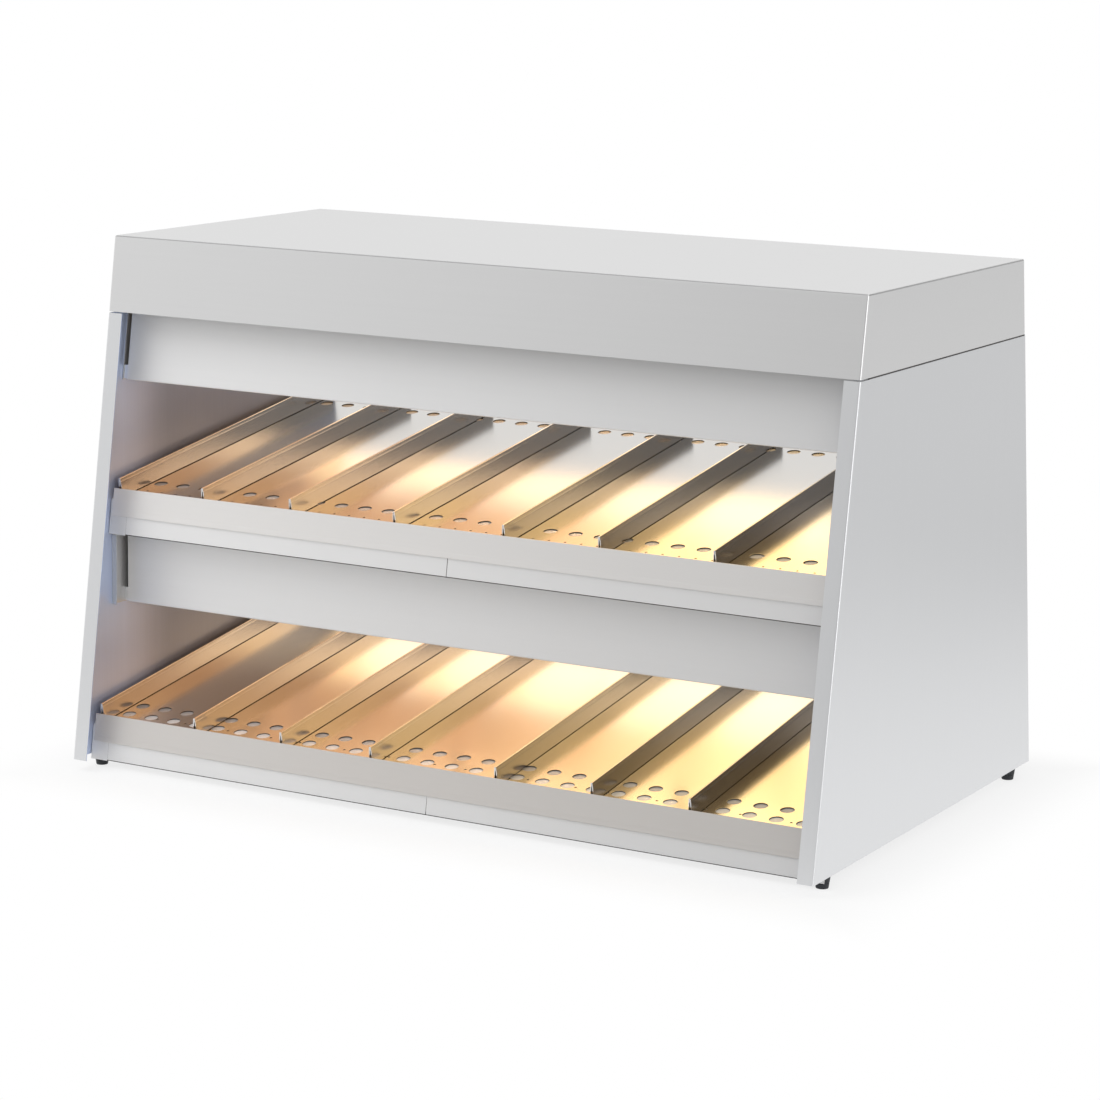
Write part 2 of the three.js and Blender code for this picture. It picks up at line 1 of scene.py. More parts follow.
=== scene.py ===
"""Dresses the heated two-tier food chute merchandiser: folded and brushed steel, perforated decks, lane
dividers, quartz lamps, controls, and the studio that it stands in. Metres, +Z up, the front faces -Y."""

import json
from math import atan2, cos, hypot, pi, radians, sin, tan

import bmesh
import bpy
from bpy.props import FloatProperty, FloatVectorProperty, IntProperty, PointerProperty
from bpy.types import Operator, Panel, PropertyGroup
from mathutils import Matrix, Vector

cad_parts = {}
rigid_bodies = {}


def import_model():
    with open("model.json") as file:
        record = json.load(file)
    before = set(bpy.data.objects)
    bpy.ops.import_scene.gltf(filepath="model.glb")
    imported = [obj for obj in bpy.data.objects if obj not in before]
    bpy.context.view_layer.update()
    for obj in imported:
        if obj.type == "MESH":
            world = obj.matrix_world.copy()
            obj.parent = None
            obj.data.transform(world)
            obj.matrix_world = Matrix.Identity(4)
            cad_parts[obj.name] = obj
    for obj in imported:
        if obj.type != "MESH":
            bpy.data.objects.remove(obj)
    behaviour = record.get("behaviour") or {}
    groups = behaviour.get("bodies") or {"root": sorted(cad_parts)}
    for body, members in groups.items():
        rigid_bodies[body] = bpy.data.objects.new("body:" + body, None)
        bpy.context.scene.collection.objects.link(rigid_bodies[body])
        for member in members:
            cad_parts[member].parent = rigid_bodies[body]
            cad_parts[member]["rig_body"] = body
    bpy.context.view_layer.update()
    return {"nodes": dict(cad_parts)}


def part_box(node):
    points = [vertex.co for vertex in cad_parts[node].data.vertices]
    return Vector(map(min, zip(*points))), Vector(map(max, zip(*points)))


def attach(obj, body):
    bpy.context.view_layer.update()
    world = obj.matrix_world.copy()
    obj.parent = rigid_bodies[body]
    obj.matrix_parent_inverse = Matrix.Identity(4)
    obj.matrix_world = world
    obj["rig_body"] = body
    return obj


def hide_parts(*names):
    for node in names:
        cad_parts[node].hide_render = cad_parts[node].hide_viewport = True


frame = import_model()

bl_info = {
    "name": "Food Chute Merchandiser",
    "version": (1, 0, 0),
    "blender": (4, 5, 0),
    "location": "3D Viewport > Sidebar > Merchandiser",
    "description": "Dresses a heated counter merchandiser and its studio",
    "category": "Object",
}

NODES = frame["nodes"]
BODY_OF = {node: obj["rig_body"] for node, obj in NODES.items()}
TIERS = ("lower", "upper")
SIDES = ((-1, "left"), (1, "right"))

# Planes of the cabinet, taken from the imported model.
HALF_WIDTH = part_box("cap")[1].x
HALF_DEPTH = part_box("side_panel_left")[1].y
FOOT_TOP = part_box("foot_front_left")[1].z
CAP_BOTTOM, CAP_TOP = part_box("cap")[0].z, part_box("cap")[1].z
PANEL_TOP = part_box("side_panel_left")[1].z


def length(name, default, description):
    return FloatProperty(name=name, description=description, default=default, unit="LENGTH", precision=4)


def level(name, default, description):
    return FloatProperty(name=name, description=description, default=default, min=0)


def colour(name, default, description):
    return FloatVectorProperty(
        name=name, description=description, default=default, size=3, min=0, max=1, subtype="COLOR"
    )


class CabinetSettings(PropertyGroup):
    lean: FloatProperty(
        name="Lean", description="Inward lean of the front and back", default=radians(8.3), subtype="ANGLE"
    )
    sheet: length("Cabinet sheet", 0.0015, "Thickness of the cap and side panels")
    thin_sheet: length("Inner sheet", 0.0012, "Thickness of rails, fascias and decks")
    bend: length("Bend radius", 0.0012, "Inside radius of the folds")
    stile: length("Stile width", 0.024, "Width of the side panel's front return")
    foot_flange: length("Foot flange", 0.024, "Width of the side panel's lower return")
    foot_flange_recess: length("Foot flange recess", 0.043, "Where the lower return starts")
    cap_return: length("Cap return", 0.0135, "Width of the cap's lower returns")
    # The dark strip below the cap is painted shade in the joint.
    shade_strip_start: length("Seal start", 0.028, "From the front plane to the dark seal below the cap")
    steel: colour("Cabinet steel", (0.79, 0.79, 0.79), "Brushed outer steel")
    panel_steel: colour("Panel steel", (0.785, 0.793, 0.805), "Side panels")
    # The inner panel steel is a darker, bluer copy of the panel steel: painted shade and painted cool
    # daylight.
    painted_shade_panel_steel: colour("Inner panel steel", (0.455, 0.52, 0.68), "Inner faces of the side panels")
    rubber: colour("Rubber", (0.018, 0.021, 0.026), "Feet")


class DeckSettings(PropertyGroup):
    side_gap: length("Side gap", 0.007, "From the side face to the deck's edge")
    lip_recess: length("Lip recess", 0.0385, "From the front plane to the lip")
    lip_rise: length("Lip rise", 0.015, "How far the lip stands above the deck")
    lip_drop: length("Lip drop", 0.0255, "How far the lip hangs below the deck")
    lip_thickness: length("Lip thickness", 0.0024, "The folded lip is two sheets thick")
    hole: length("Hole diameter", 0.020, "Diameter of the vent holes")
    pitch: length("Hole pitch", 0.040, "Spacing of the vent holes")
    left_inset: length("Left inset", 0.033, "First vent hole from the left side")
    right_inset: length("Right inset", 0.060, "Last vent hole from the right side")
    front_count: IntProperty(name="Front run", description="Holes in the front rows' left run", default=16)
    rear_count: IntProperty(name="Rear run", description="Holes in the rear row's left run", default=12)
    front_row: length("Front row", 0.085, "Front row of holes from the lip")
    second_row: length("Second row", 0.0505, "The lower deck's nearest row from the lip")
    rear_row: length("Rear row", 0.050, "Rear row of holes from the rear edge")
    pin: length("Locating hole", 0.0036, "Diameter of the dividers' locating holes")
    pin_pitch: length("Locating pitch", 0.0253, "Spacing of the locating holes")
    pin_inset: length("Locating inset", 0.0352, "First locating hole from the side")
    pin_row: length("Locating row", 0.048, "Row of locating holes from the lip")
    steel: colour("Deck steel", (0.76, 0.74, 0.71), "Deck steel, slightly straw coloured by the heat")
    # The lower lip's steel is darker than the upper lip's: painted shade.
    lower_lip_steel: colour("Lower lip steel", (0.655, 0.63, 0.605), "Lower deck's front lip")
    upper_lip_steel: colour("Upper lip steel", (0.79, 0.775, 0.76), "Upper deck's front lip")
    plate: colour("Base plate", (0.45, 0.44, 0.43), "Matt plate that shows through the holes")


class DividerSettings(PropertyGroup):
    foot: length("Foot width", 0.0065, "Width at the deck")
    top: length("Top width", 0.0035, "Width along the top fold")
    height: length("Height", 0.029, "Height above the deck")
    sheet: length("Divider sheet", 0.0015, "Thickness of the folded sheet")
    start: length("Front distance", 0.010, "From the lip to the divider's front end")
    clearance: length("Clearance", 0.0009, "From the deck to the sheet's lower edges")
    crease: length("Crease", 0.0004, "Step of the fold below the top edge")
    # The divider steel is darker than the cabinet steel: painted shade on the lanes' faces.
    steel: colour("Divider steel", (0.52, 0.49, 0.47), "Faces, darkened by the heat")


class RailSettings(PropertyGroup):
    drop: length("Rail drop", 0.053, "Bottom of the front rail below the deck")
    top_flange: length("Top flange", 0.066, "Flange that lies under the deck")
    bottom_flange: length("Bottom flange", 0.015, "Flange along the bottom")
    notch: length("Notch", 0.030, "Length at the outer end with no bottom flange")
    seat: length("Clearance", 0.0003, "Clearance between parts that rest on each other")
    fascia_recess: length("Upper fascia recess", 0.045, "From the front plane to the upper fascia")
    fascia_return: length("Fascia return", 0.014, "Flange along the fascia's lower edge")


class LampSettings(PropertyGroup):
    tint: colour("Lamp colour", (1.0, 0.56, 0.30), "Colour of the heat lamps' light")
    # The two colours and three glows below are lamp light painted on the reflectors as emission.
    near_tint: colour("Bright colour", (1.0, 0.70, 0.31), "Colour of the reflector by the lamp")
    far_tint: colour("Faint colour", (1.0, 0.52, 0.25), "Colour of the reflector's ends")
    power: level("Lamp power", 1.5, "Light thrown down by each lamp")
    near_glow: level("Near glow", 0.60, "Added brightness above the bright lanes")
    far_glow: level("Far glow", 0.58, "Brightness of the dim end's front")
    rear_glow: level("Rear glow", 1.55, "Brightness of the rear band")


class StageSettings(PropertyGroup):
    floor: colour("Floor", (0.90, 0.90, 0.90), "Pale floor")
    light: level("Studio light", 0.75, "Strength of the soft light all round")
    focal: FloatProperty(name="Lens", description="Focal length in millimetres", default=108.92, min=20)


GROUPS = {
    "merch_cabinet": CabinetSettings,
    "merch_deck": DeckSettings,
    "merch_divider": DividerSettings,
    "merch_rail": RailSettings,
    "merch_lamp": LampSettings,
    "merch_stage": StageSettings,
}


# Places on the leaning front and back, and on the sloping decks.


def lean():
    return bpy.context.scene.merch_cabinet.lean


def front_y(z, recess=0.0):
    return recess - HALF_DEPTH + (z - FOOT_TOP) * tan(lean())


def back_y(z, recess=0.0):
    return HALF_DEPTH - recess - (z - FOOT_TOP) * tan(lean())


def middle_x(node):
    low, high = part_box(node)
    return (low.x + high.x) / 2


def deck_height(tier):
    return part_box(f"{tier}_deck")[0].z + bpy.context.scene.merch_deck.lip_drop


def slope_matrix(tier):
    """From a tier's own axes (across, up the slope from the lip, square to the deck) to the model's."""
    z = deck_height(tier)
    y = front_y(z, bpy.context.scene.merch_deck.lip_recess)
    return Matrix.Translation((0, y, z)) @ Matrix.Rotation(lean(), 4, "X")


def slope_point(tier, distance, above):
    point = slope_matrix(tier) @ Vector((0, distance, above))
    return point.y, point.z


def deck_length(tier):
    return (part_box(f"{tier}_deck")[1].y - slope_point(tier, 0, 0)[0]) / cos(lean())


# Meshes.

CUT_EDGE = 0.0003  # the small round of a sheet's cut edges
BENT = 70  # degrees: the steps of a folded sheet's round bends are shallower, and its cut edges steeper
ROUND_STEPS = 4  # steps of a rounded corner


def with_values(thing, **values):
    for key, value in values.items():
        setattr(thing, key, value)
    return thing


def new_object(name, data):
    obj = bpy.data.objects.new(name, data)
    bpy.context.scene.collection.objects.link(obj)
    return obj


def mesh_object(name, vertices, faces, smooth_angle=40):
    mesh = bpy.data.meshes.new(name)
    mesh.from_pydata([tuple(v) for v in vertices], [], faces)
    mesh.validate()
    return tidy_mesh(new_object(name, mesh), smooth_angle)


def tidy_mesh(obj, smooth_angle=40):
    """Faces outwards, smooth except across sharp edges."""
    work = bmesh.new()
    work.from_mesh(obj.data)
    bmesh.ops.remove_doubles(work, verts=work.verts, dist=1e-7)
    bmesh.ops.recalc_face_normals(work, faces=work.faces)
    work.to_mesh(obj.data)
    work.free()
    obj.data.shade_smooth()
    obj.data.set_sharp_from_angle(angle=radians(smooth_angle))
    return obj


def joined(name, *parts):
    """One object from several. Only the first one's modifiers stay."""
    for obj in bpy.context.selected_objects:
        obj.select_set(False)
    for obj in parts:
        obj.select_set(True)
    bpy.context.view_layer.objects.active = parts[0]
    bpy.ops.object.join()
    parts[0].name = name
    return parts[0]


def ease_edges(obj, width=CUT_EDGE, segments=2, angle=55):
    """A small round along the cut edges, which catches the light."""
    bevel = with_values(obj.modifiers.new("eased_edges", "BEVEL"), width=width, segments=segments)
    with_values(bevel, limit_method="ANGLE", angle_limit=radians(angle), miter_outer="MITER_ARC")
    return obj


def fold(line, thickness, radius, steps=4):
    """Both faces of a sheet that follows a bent line, with round bends: the line's side, then its left."""
    points = [Vector(p) for p in line]
    near, far = [], []
    for i, point in enumerate(points):
        if i in (0, len(points) - 1):
            ahead = (points[1] - points[0]) if i == 0 else (points[-1] - points[-2])
            ahead.normalize()
            near.append(point)
            far.append(point + Vector((-ahead.y, ahead.x)) * thickness)
            continue
        before = (point - points[i - 1]).normalized()
        after = (points[i + 1] - point).normalized()
        turn = atan2(before.cross(after), before.dot(after))
        side = 1 if turn > 0 else -1
        reach = radius + thickness if turn > 0 else radius
        inward = Vector((-before.y, before.x)) * side
        centre = point - before * reach * tan(abs(turn) / 2) + inward * reach
        for k in range(steps + 1):
            spoke = Matrix.Rotation(turn * k / steps, 2) @ -inward
            near.append(centre + spoke * reach)
            far.append(centre + spoke * (reach - side * thickness))
    return near, far


def sheet(name, sections):
    """A closed sheet through sections, each of which gives the points of its two faces in space."""
    count = len(sections[0][0])
    vertices = [point for near, far in sections for point in (*near, *far)]
    faces = []
    for s in range(len(sections) - 1):
        a, b = s * 2 * count, (s + 1) * 2 * count
        for i in range(count - 1):
            faces.append((a + i, a + i + 1, b + i + 1, b + i))
            faces.append((a + count + i, b + count + i, b + count + i + 1, a + count + i + 1))
        for i in (0, count - 1):
            faces.append((a + i, b + i, b + count + i, a + count + i))
    for a in (0, (len(sections) - 1) * 2 * count):
        faces.extend((a + i, a + i + 1, a + count + i + 1, a + count + i) for i in range(count - 1))
    return mesh_object(name, vertices, faces)


def across(name, faces, x_start, x_end):
    """A sheet with its two faces in the side view, carried across the cabinet."""
    return sheet(name, [[[(x, *p) for p in face] for face in faces] for x in (x_start, x_end)])


def plate(name, outer, holes, thickness, ease=0.00025):
    """A flat plate with holes and eased rims, centred on its own z = 0."""
    curve = with_values(bpy.data.curves.new(name, "CURVE"), dimensions="2D", fill_mode="BOTH")
    with_values(curve, extrude=thickness / 2 - ease, bevel_depth=ease, bevel_resolution=1, offset=-ease)
    for loop in (outer, *holes):
        spline = curve.splines.new("POLY")
        spline.points.add(len(loop) - 1)
        for point, (x, y) in zip(spline.points, loop):
            point.co = (x, y, 0, 1)
        spline.use_cyclic_u = True
    shape = new_object(name, curve)
    bpy.context.view_layer.update()
    mesh = bpy.data.meshes.new_from_object(shape.evaluated_get(bpy.context.evaluated_depsgraph_get()))
    bpy.data.objects.remove(shape)
    return tidy_mesh(new_object(name, mesh), 15)


def ring_of(x, y, radius, count):
    turns = [2 * pi * k / count for k in range(count)]
    return [(x + radius * cos(a), y + radius * sin(a)) for a in turns]


def rounded_box(x_half, y_half, radius):
    """The corner points of a rounded rectangle, anticlockwise."""
    points = []
    for quarter, (sx, sy) in enumerate(((1, 1), (-1, 1), (-1, -1), (1, -1))):
        x, y = sx * (x_half - radius), sy * (y_half - radius)
        for k in range(ROUND_STEPS + 1):
            a = (quarter + k / ROUND_STEPS) * pi / 2
            points.append((x + radius * cos(a), y + radius * sin(a)))
    return points


def loft(name, rings, smooth_angle=40):
    """A solid through closed rings of points, with flat ends."""
    count = len(rings[0])
    vertices = [point for ring in rings for point in ring]
    faces = []
    for s in range(0, len(vertices) - count, count):
        for k in range(count):
            n = (k + 1) % count
            faces.append((s + k, s + n, s + count + n, s + count + k))
    faces += [tuple(range(count - 1, -1, -1)), tuple(range(len(vertices) - count, len(vertices)))]
    return mesh_object(name, vertices, faces, smooth_angle)


def turned(name, profile, count=40, flute=lambda angle, index: 1):
    """A solid turned about z from (radius, height) points. flute(angle, index) scales a radius."""
    turns = [2 * pi * k / count for k in range(count)]
    rings = []
    for index, (radius, height) in enumerate(profile):
        reach = [radius * flute(a, index) for a in turns]
        rings.append([(r * cos(a), r * sin(a), height) for r, a in zip(reach, turns)])
    return loft(name, rings, 35)


def flutes(count, depth, rings):
    """Waves round a turned piece, at the named points of its profile."""
    return lambda angle, index: 1 + (depth * cos(count * angle) if index in rings else 0)


def cuboid(name, low, high):
    corners = [(x, y, z) for x in (low[0], high[0]) for y in (low[1], high[1]) for z in (low[2], high[2])]
    sides = [(0, 1, 3, 2), (4, 6, 7, 5), (0, 4, 5, 1), (2, 3, 7, 6), (0, 2, 6, 4), (1, 5, 7, 3)]
    return mesh_object(name, corners, sides)


def cut_away(obj, tool):
    """Cuts a solid out of a piece and removes the tool."""
    with_values(obj.modifiers.new("cut", "BOOLEAN"), operation="DIFFERENCE", solver="EXACT", object=tool)
    bpy.context.view_layer.objects.active = obj
    bpy.ops.object.modifier_apply(modifier="cut")
    bpy.data.objects.remove(tool)
    return tidy_mesh(obj)


def put(obj, matrix):
    """Moves a new piece's mesh to its place, so that its object stays at the origin."""
    obj.data.transform(matrix)
    return obj


def coat(obj, material):
    obj.data.materials.clear()
    obj.data.materials.append(material)
    return obj


def two_tone(obj, main, edge, is_edge):
    """A second finish on the faces that a test picks."""
    coat(obj, finish(main))
    obj.data.materials.append(finish(edge))
    for face in obj.data.polygons:
        face.material_index = int(is_edge(face))
    return obj


def stand_for(obj, node, material=None):
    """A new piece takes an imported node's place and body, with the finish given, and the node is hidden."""
    obj.name = f"{node}_dressed"
    if material:
        coat(obj, material)
    with_values(obj.modifiers.new("flat_faces", "WEIGHTED_NORMAL"), weight=50, keep_sharp=True)
    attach(obj, BODY_OF[node])
    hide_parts(node)


def detail_of(obj, node, material, name):
    """A small piece that rides with a node and doesn't replace it."""
    obj.name = name
    coat(obj, material)
    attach(obj, BODY_OF[node])


def dress(node, material, ease=CUT_EDGE):
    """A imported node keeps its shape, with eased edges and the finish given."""
    obj = NODES[node]
    for place in obj.material_slots:
        place.material = material
    ease_edges(obj, ease, 1)


# Finishes.


class Wire:
    """A node's output, so that shader maths reads as an expression."""

    def __init__(self, graph, socket):
        self.graph, self.socket = graph, socket

    def maths(self, operation, *others):
        return self.graph.maths(operation, self, *others)

    def __add__(self, other):
        return self.maths("ADD", other)

    def __mul__(self, other):
        return self.maths("MULTIPLY", other)

    def __sub__(self, other):
        return self.maths("SUBTRACT", other)

    def __rsub__(self, other):
        return self.graph.maths("SUBTRACT", other, self)

    __radd__, __rmul__ = __add__, __mul__


class Graph:
    """The nodes of a material or a world."""

    def __init__(self, owner):
        owner.use_nodes = True
        self.tree = owner.node_tree
        self.tree.nodes.clear()

    def add(self, kind, settings=None, inputs=None, output=0):
        node = with_values(self.tree.nodes.new(kind), **(settings or {}))
        for key, value in (inputs or {}).items():
            if isinstance(value, Wire):
                self.tree.links.new(value.socket, node.inputs[key])
            else:
                node.inputs[key].default_value = value
        return Wire(self, node.outputs[output]) if node.outputs else None

    def maths(self, operation, *values):
        return self.add("ShaderNodeMath", {"operation": operation}, dict(enumerate(values)))

    def vectors(self, operation, inputs, output="Vector"):
        return self.add("ShaderNodeVectorMath", {"operation": operation}, inputs, output)

    def here(self):
        """The place on the object."""
        return self.add("ShaderNodeTexCoord", output="Object")

    def along(self, axis, vector=None):
        """One coordinate of a vector, or of the place on the object."""
        return self.add("ShaderNodeSeparateXYZ", None, {0: vector or self.here()}, "xyz".index(axis))

    def noise(self, stretch, detail=2.0, turn=0.0):
        """Noise of so many cycles a metre along each axis, turned about x."""
        inputs = {"Vector": self.here(), "Rotation": (turn, 0, 0), "Scale": stretch}
        place = self.add("ShaderNodeMapping", None, inputs)
        return self.add("ShaderNodeTexNoise", None, {"Vector": place, "Scale": 1.0, "Detail": detail})

    def blend(self, share, dark, light):
        """A mix of two colours: a Mix node takes them at its inputs 6 and 7."""
        inputs = {0: share, 6: (*dark, 1), 7: (*light, 1)}
        return self.add("ShaderNodeMix", {"data_type": "RGBA"}, inputs, output=2)

    def bump(self, height, depth, distance):
        return self.add("ShaderNodeBump", None, {"Strength": depth, "Distance": distance, "Height": height})

    def grey(self, tone):
        return self.add("ShaderNodeCombineXYZ", None, {0: tone, 1: tone, 2: tone})

    def smooth_step(self, value, low, high):
        inputs = {"Value": value, "From Min": low, "From Max": high}
        return self.add("ShaderNodeMapRange", {"interpolation_type": "SMOOTHSTEP"}, inputs)

    def cosine(self, direction, aim):
        return self.vectors("DOT_PRODUCT", {0: direction, 1: aim}, "Value")

    def ray(self, kind):
        return self.add("ShaderNodeLightPath", output=f"Is {kind} Ray")

    def mirror_ray(self):
        """1 where gloss or glass looks."""
        return self.ray("Glossy").maths("MAXIMUM", self.ray("Transmission"))

    def emission(self, tone):
        return self.add("ShaderNodeEmission", None, {"Color": tone, "Strength": 1.0})

    def mix_shader(self, share, first, second):
        return self.add("ShaderNodeMixShader", None, {0: share, 1: first, 2: second})

    def surface(self, shader):
        self.add("ShaderNodeOutputMaterial", None, {"Surface": shader})

    def principled(self, inputs):
        self.surface(self.add("ShaderNodeBsdfPrincipled", None, inputs))


def new_material(name):
    material = bpy.data.materials.new(name)
    return material, Graph(material)


# Noise in cycles a metre, along the brushing and square to it, and its detail.
SCRATCHES, STREAKS = (8.0, 2200.0, 1.0), (1.5, 160.0, 2.0)
SMUDGES, SMUDGE_DETAIL = (5, 5, 5), 3.0
SPECKLE, WEAR = (900.0, 900.0, 900.0), (40, 40, 40)

# Light and shade painted into a tone along an axis of the model: axis, start, end, its share at the start and
# at the end. The inner panels are painted lighter towards the open front, the fascias, lips and dividers
# darker to the right.
INNER_PANEL_PAINTED_LIGHT = ("y", -0.27, -0.13, 1.35, 0.68)
FASCIA_PAINTED_SHADE, LIP_PAINTED_SHADE = ("x", -0.75, 0.60, 1.06, 0.86), ("x", -0.75, 0.60, 1.054, 0.874)
DIVIDER_PAINTED_SHADE = ("x", -0.25, 0.15, 1.0, 0.66)


def brushed(name, tone, roughness, grain, turn=0, depth=0.02, metal=1, contrast=0.03, painted_shading=None, glow=None):
    """Brushed steel. grain is the direction of the brushing and turn its slope, depth and contrast are those
    of its scratches, metal is its mirror share, painted_shading paints light and shade into its tone along an
    axis, and glow(graph) is light painted on it as emission."""
    material, graph = new_material(name)

    def strokes(along, square, detail):
        return graph.noise(tuple(along if axis == grain else square for axis in "xyz"), detail, turn)

    scratches, streaks = strokes(*SCRATCHES), strokes(*STREAKS)
    mix = scratches * 0.35 + streaks * 0.35 + graph.noise(SMUDGES, SMUDGE_DETAIL) * 0.30
    base = graph.blend(mix, *(tuple(c * share for c in tone) for share in (1 - contrast, 1 + contrast)))
    # Painted light and shade: the tone is scaled along an axis.
    if painted_shading:
        axis, start, end, first, last = painted_shading
        share = graph.smooth_step(graph.along(axis), start, end) * (last - first) + first
        base = graph.vectors("SCALE", {0: base, "Scale": share})
    inputs = {
        "Base Color": base,
        "Metallic": metal,
        "Roughness": mix * 0.08 + (roughness - 0.04),
        "Normal": graph.bump(scratches, depth, 0.0003),
    }
    if glow:
        inputs |= {"Emission Color": glow(graph), "Emission Strength": 1.0}
    graph.principled(inputs)
    return material


# The lamps' light painted on their reflectors as emission: where each smooth step starts and ends, in metres.
TO_UPPER_TIER = (0.45, 0.52)  # in z
TO_REAR_BAND = (0.13, 0.19)  # in y
TO_BRIGHT_LANES = (-0.32, 0.24)  # in x
TO_DIM_CORNER, DIM_SLANT = (0.42, 0.51), 0.6  # in x, with this share of y
TO_SIDES = (-0.5, -0.1)  # in the normal's z, from the underside to the sides
UPPER_GAIN, REAR_GAIN, DIM_SHARE, REAR_TINT = 0.6, 0.15, 0.86, 0.7


def painted_reflector_glow(graph):
    """Lamp light painted on the reflector's underside as emission: strong by the lamp, copper towards the
    ends, with painted shade towards the dim corner.
    """
    settings = bpy.context.scene.merch_lamp
    x, y, z = (graph.along(axis) for axis in "xyz")
    up = graph.along("z", graph.add("ShaderNodeNewGeometry", output="True Normal"))
    upper, rear = graph.smooth_step(z, *TO_UPPER_TIER), graph.smooth_step(y, *TO_REAR_BAND)
    near = graph.smooth_step(x, *TO_BRIGHT_LANES)
    front_glow = near * (upper * UPPER_GAIN + 1) * settings.near_glow + settings.far_glow
    rear_glow = (near * REAR_GAIN + 1) * settings.rear_glow
    lit = 1 - graph.smooth_step(x + y * DIM_SLANT, *TO_DIM_CORNER) * DIM_SHARE
    strength = ((1 - rear) * front_glow + rear * rear_glow) * lit
    under = 1 - graph.smooth_step(up, *TO_SIDES)
    tint = graph.blend(near.maths("MAXIMUM", rear * REAR_TINT), settings.far_tint, settings.near_tint)
    return graph.vectors("SCALE", {0: tint, "Scale": strength * under})


def moulded(name, tone, roughness):
    """Moulded plastic, rubber or ceramic with a fine surface, paint, or the near-black of painted shade on
    cut edges and in gaps.
    """
    material, graph = new_material(name)
    wear = graph.noise(WEAR)
    dark, light = tuple(c * 0.85 for c in tone), tuple(min(1, c * 1.15) for c in tone)
    inputs = {"Base Color": graph.blend(wear, dark, light), "Roughness": wear * 0.12 + (roughness - 0.06)}
    graph.principled({**inputs, "Normal": graph.bump(graph.noise(SPECKLE), 0.08, 0.0005)})
    return material


def glowing(name, tone, strength, alpha):
    material, graph = new_material(name)
    lamp = {"Base Color": (*tone, 1), "Roughness": 0.12, "Alpha": alpha}
    graph.principled({**lamp, "Emission Color": (*tone, 1), "Emission Strength": strength})
    return material


def make_finish(name):
    scene = bpy.context.scene
    cabinet, deck, slope = scene.merch_cabinet, scene.merch_deck, -lean()
    steel, lip = cabinet.steel, {"metal": 0.35, "painted_shading": LIP_PAINTED_SHADE}
    inner_panel = {"metal": 0.5, "contrast": 0.11, "painted_shading": INNER_PANEL_PAINTED_LIGHT}
    # The dividers' grain slope and scratches, with painted shade that darkens them towards the right.
    heated = {"turn": slope, "depth": 0.01, "painted_shading": DIVIDER_PAINTED_SHADE}
    # Tone, roughness, direction of the brushing, and what else sets the steel apart.
    steels = {
        "panel_steel": (cabinet.panel_steel, 0.34, "z", {"metal": 0.85}),
        "painted_shade_panel_steel": (cabinet.painted_shade_panel_steel, 0.40, "z", inner_panel),
        "cap_steel": (steel, 0.30, "x", {"metal": 0.92}),
        "fascia_steel": (steel, 0.46, "x", {"metal": 0.22, "painted_shading": FASCIA_PAINTED_SHADE}),
        "lower_lip_steel": (deck.lower_lip_steel, 0.44, "x", lip),
        "upper_lip_steel": (deck.upper_lip_steel, 0.44, "x", lip),
        "inner_steel": (tuple(c * 0.8 for c in steel), 0.40, "x", {"metal": 0.6}),
        "deck_steel": (deck.steel, 0.19, "y", {"turn": slope, "depth": 0.008}),
        "divider_steel": (scene.merch_divider.steel, 0.22, "y", heated),
        # The reflectors' steel carries lamp light painted on it as emission.
        "painted_glow_steel": (steel, 0.30, "x", {"glow": painted_reflector_glow}),
        # Bright steel: the screws' own polish, and a painted highlight on the dividers' ends and top folds.
        "polished_and_highlight_steel": (steel, 0.18, "x", {}),
    }
    # Tone and roughness.
    mouldings = {
        # Painted shade: the near-black of hole walls, cut ends, bends in shade and the joint strip below the
        # cap.
        "painted_shade_dark": ((0.035, 0.03, 0.028), 0.5),
        "matt_plate": (deck.plate, 0.55),
        "foot_rubber": (cabinet.rubber, 0.55),
        "black_plastic": ((0.016, 0.017, 0.019), 0.42),
        "white_paint": ((0.80, 0.80, 0.78), 0.45),
        "dark_print": ((0.03, 0.03, 0.035), 0.5),
        "ceramic": ((0.80, 0.77, 0.70), 0.5),
    }
    # Tone, strength and alpha.
    lamps = {"quartz_tube": ((1.0, 0.80, 0.52), 0.4, 0.35), "lamp_filament": ((1.0, 0.66, 0.30), 3.0, 1.0)}
    if name in steels:
        tone, roughness, grain, more = steels[name]
        return brushed(name, tone, roughness, grain, **more)
    return moulded(name, *mouldings[name]) if name in mouldings else glowing(name, *lamps[name])


FINISHES = {}


def finish(name):
    """Each finish is made once, when a piece first asks for it."""
    if name not in FINISHES:
        FINISHES[name] = make_finish(name)
    return FINISHES[name]


# Cabinet.

INNER_CORNER = 0.0004  # radius inside the cap's folded corners
LEAST_CORNER = 0.0002  # where a corner's round runs out at the cap's top
CAP_WINDOW = (-0.150, -0.01, -0.030), (0.150, 0.01, 0.030)  # behind the control panel, on its axes

# A foot's outline: share of its radius, share of its height, and a height added to that.
FOOT_SOLE = (0.60, 0, 0), (0.76, 0, 0), (0.80, 0, 0.0008)
FOOT_SIDE = (0.87, 0.42, 0), (0.83, 0.46, 0), (0.90, 0.50, 0), (0.98, 1, -0.0012), (0.95, 1, -0.0002)


def cap_ring(z, side_inset, front_inset, radius):
    low, high = front_y(z, front_inset), back_y(z, front_inset)
    middle, half = (low + high) / 2, (high - low) / 2
    return [(x, middle + y, z) for x, y in rounded_box(HALF_WIDTH - side_inset, half, radius)]


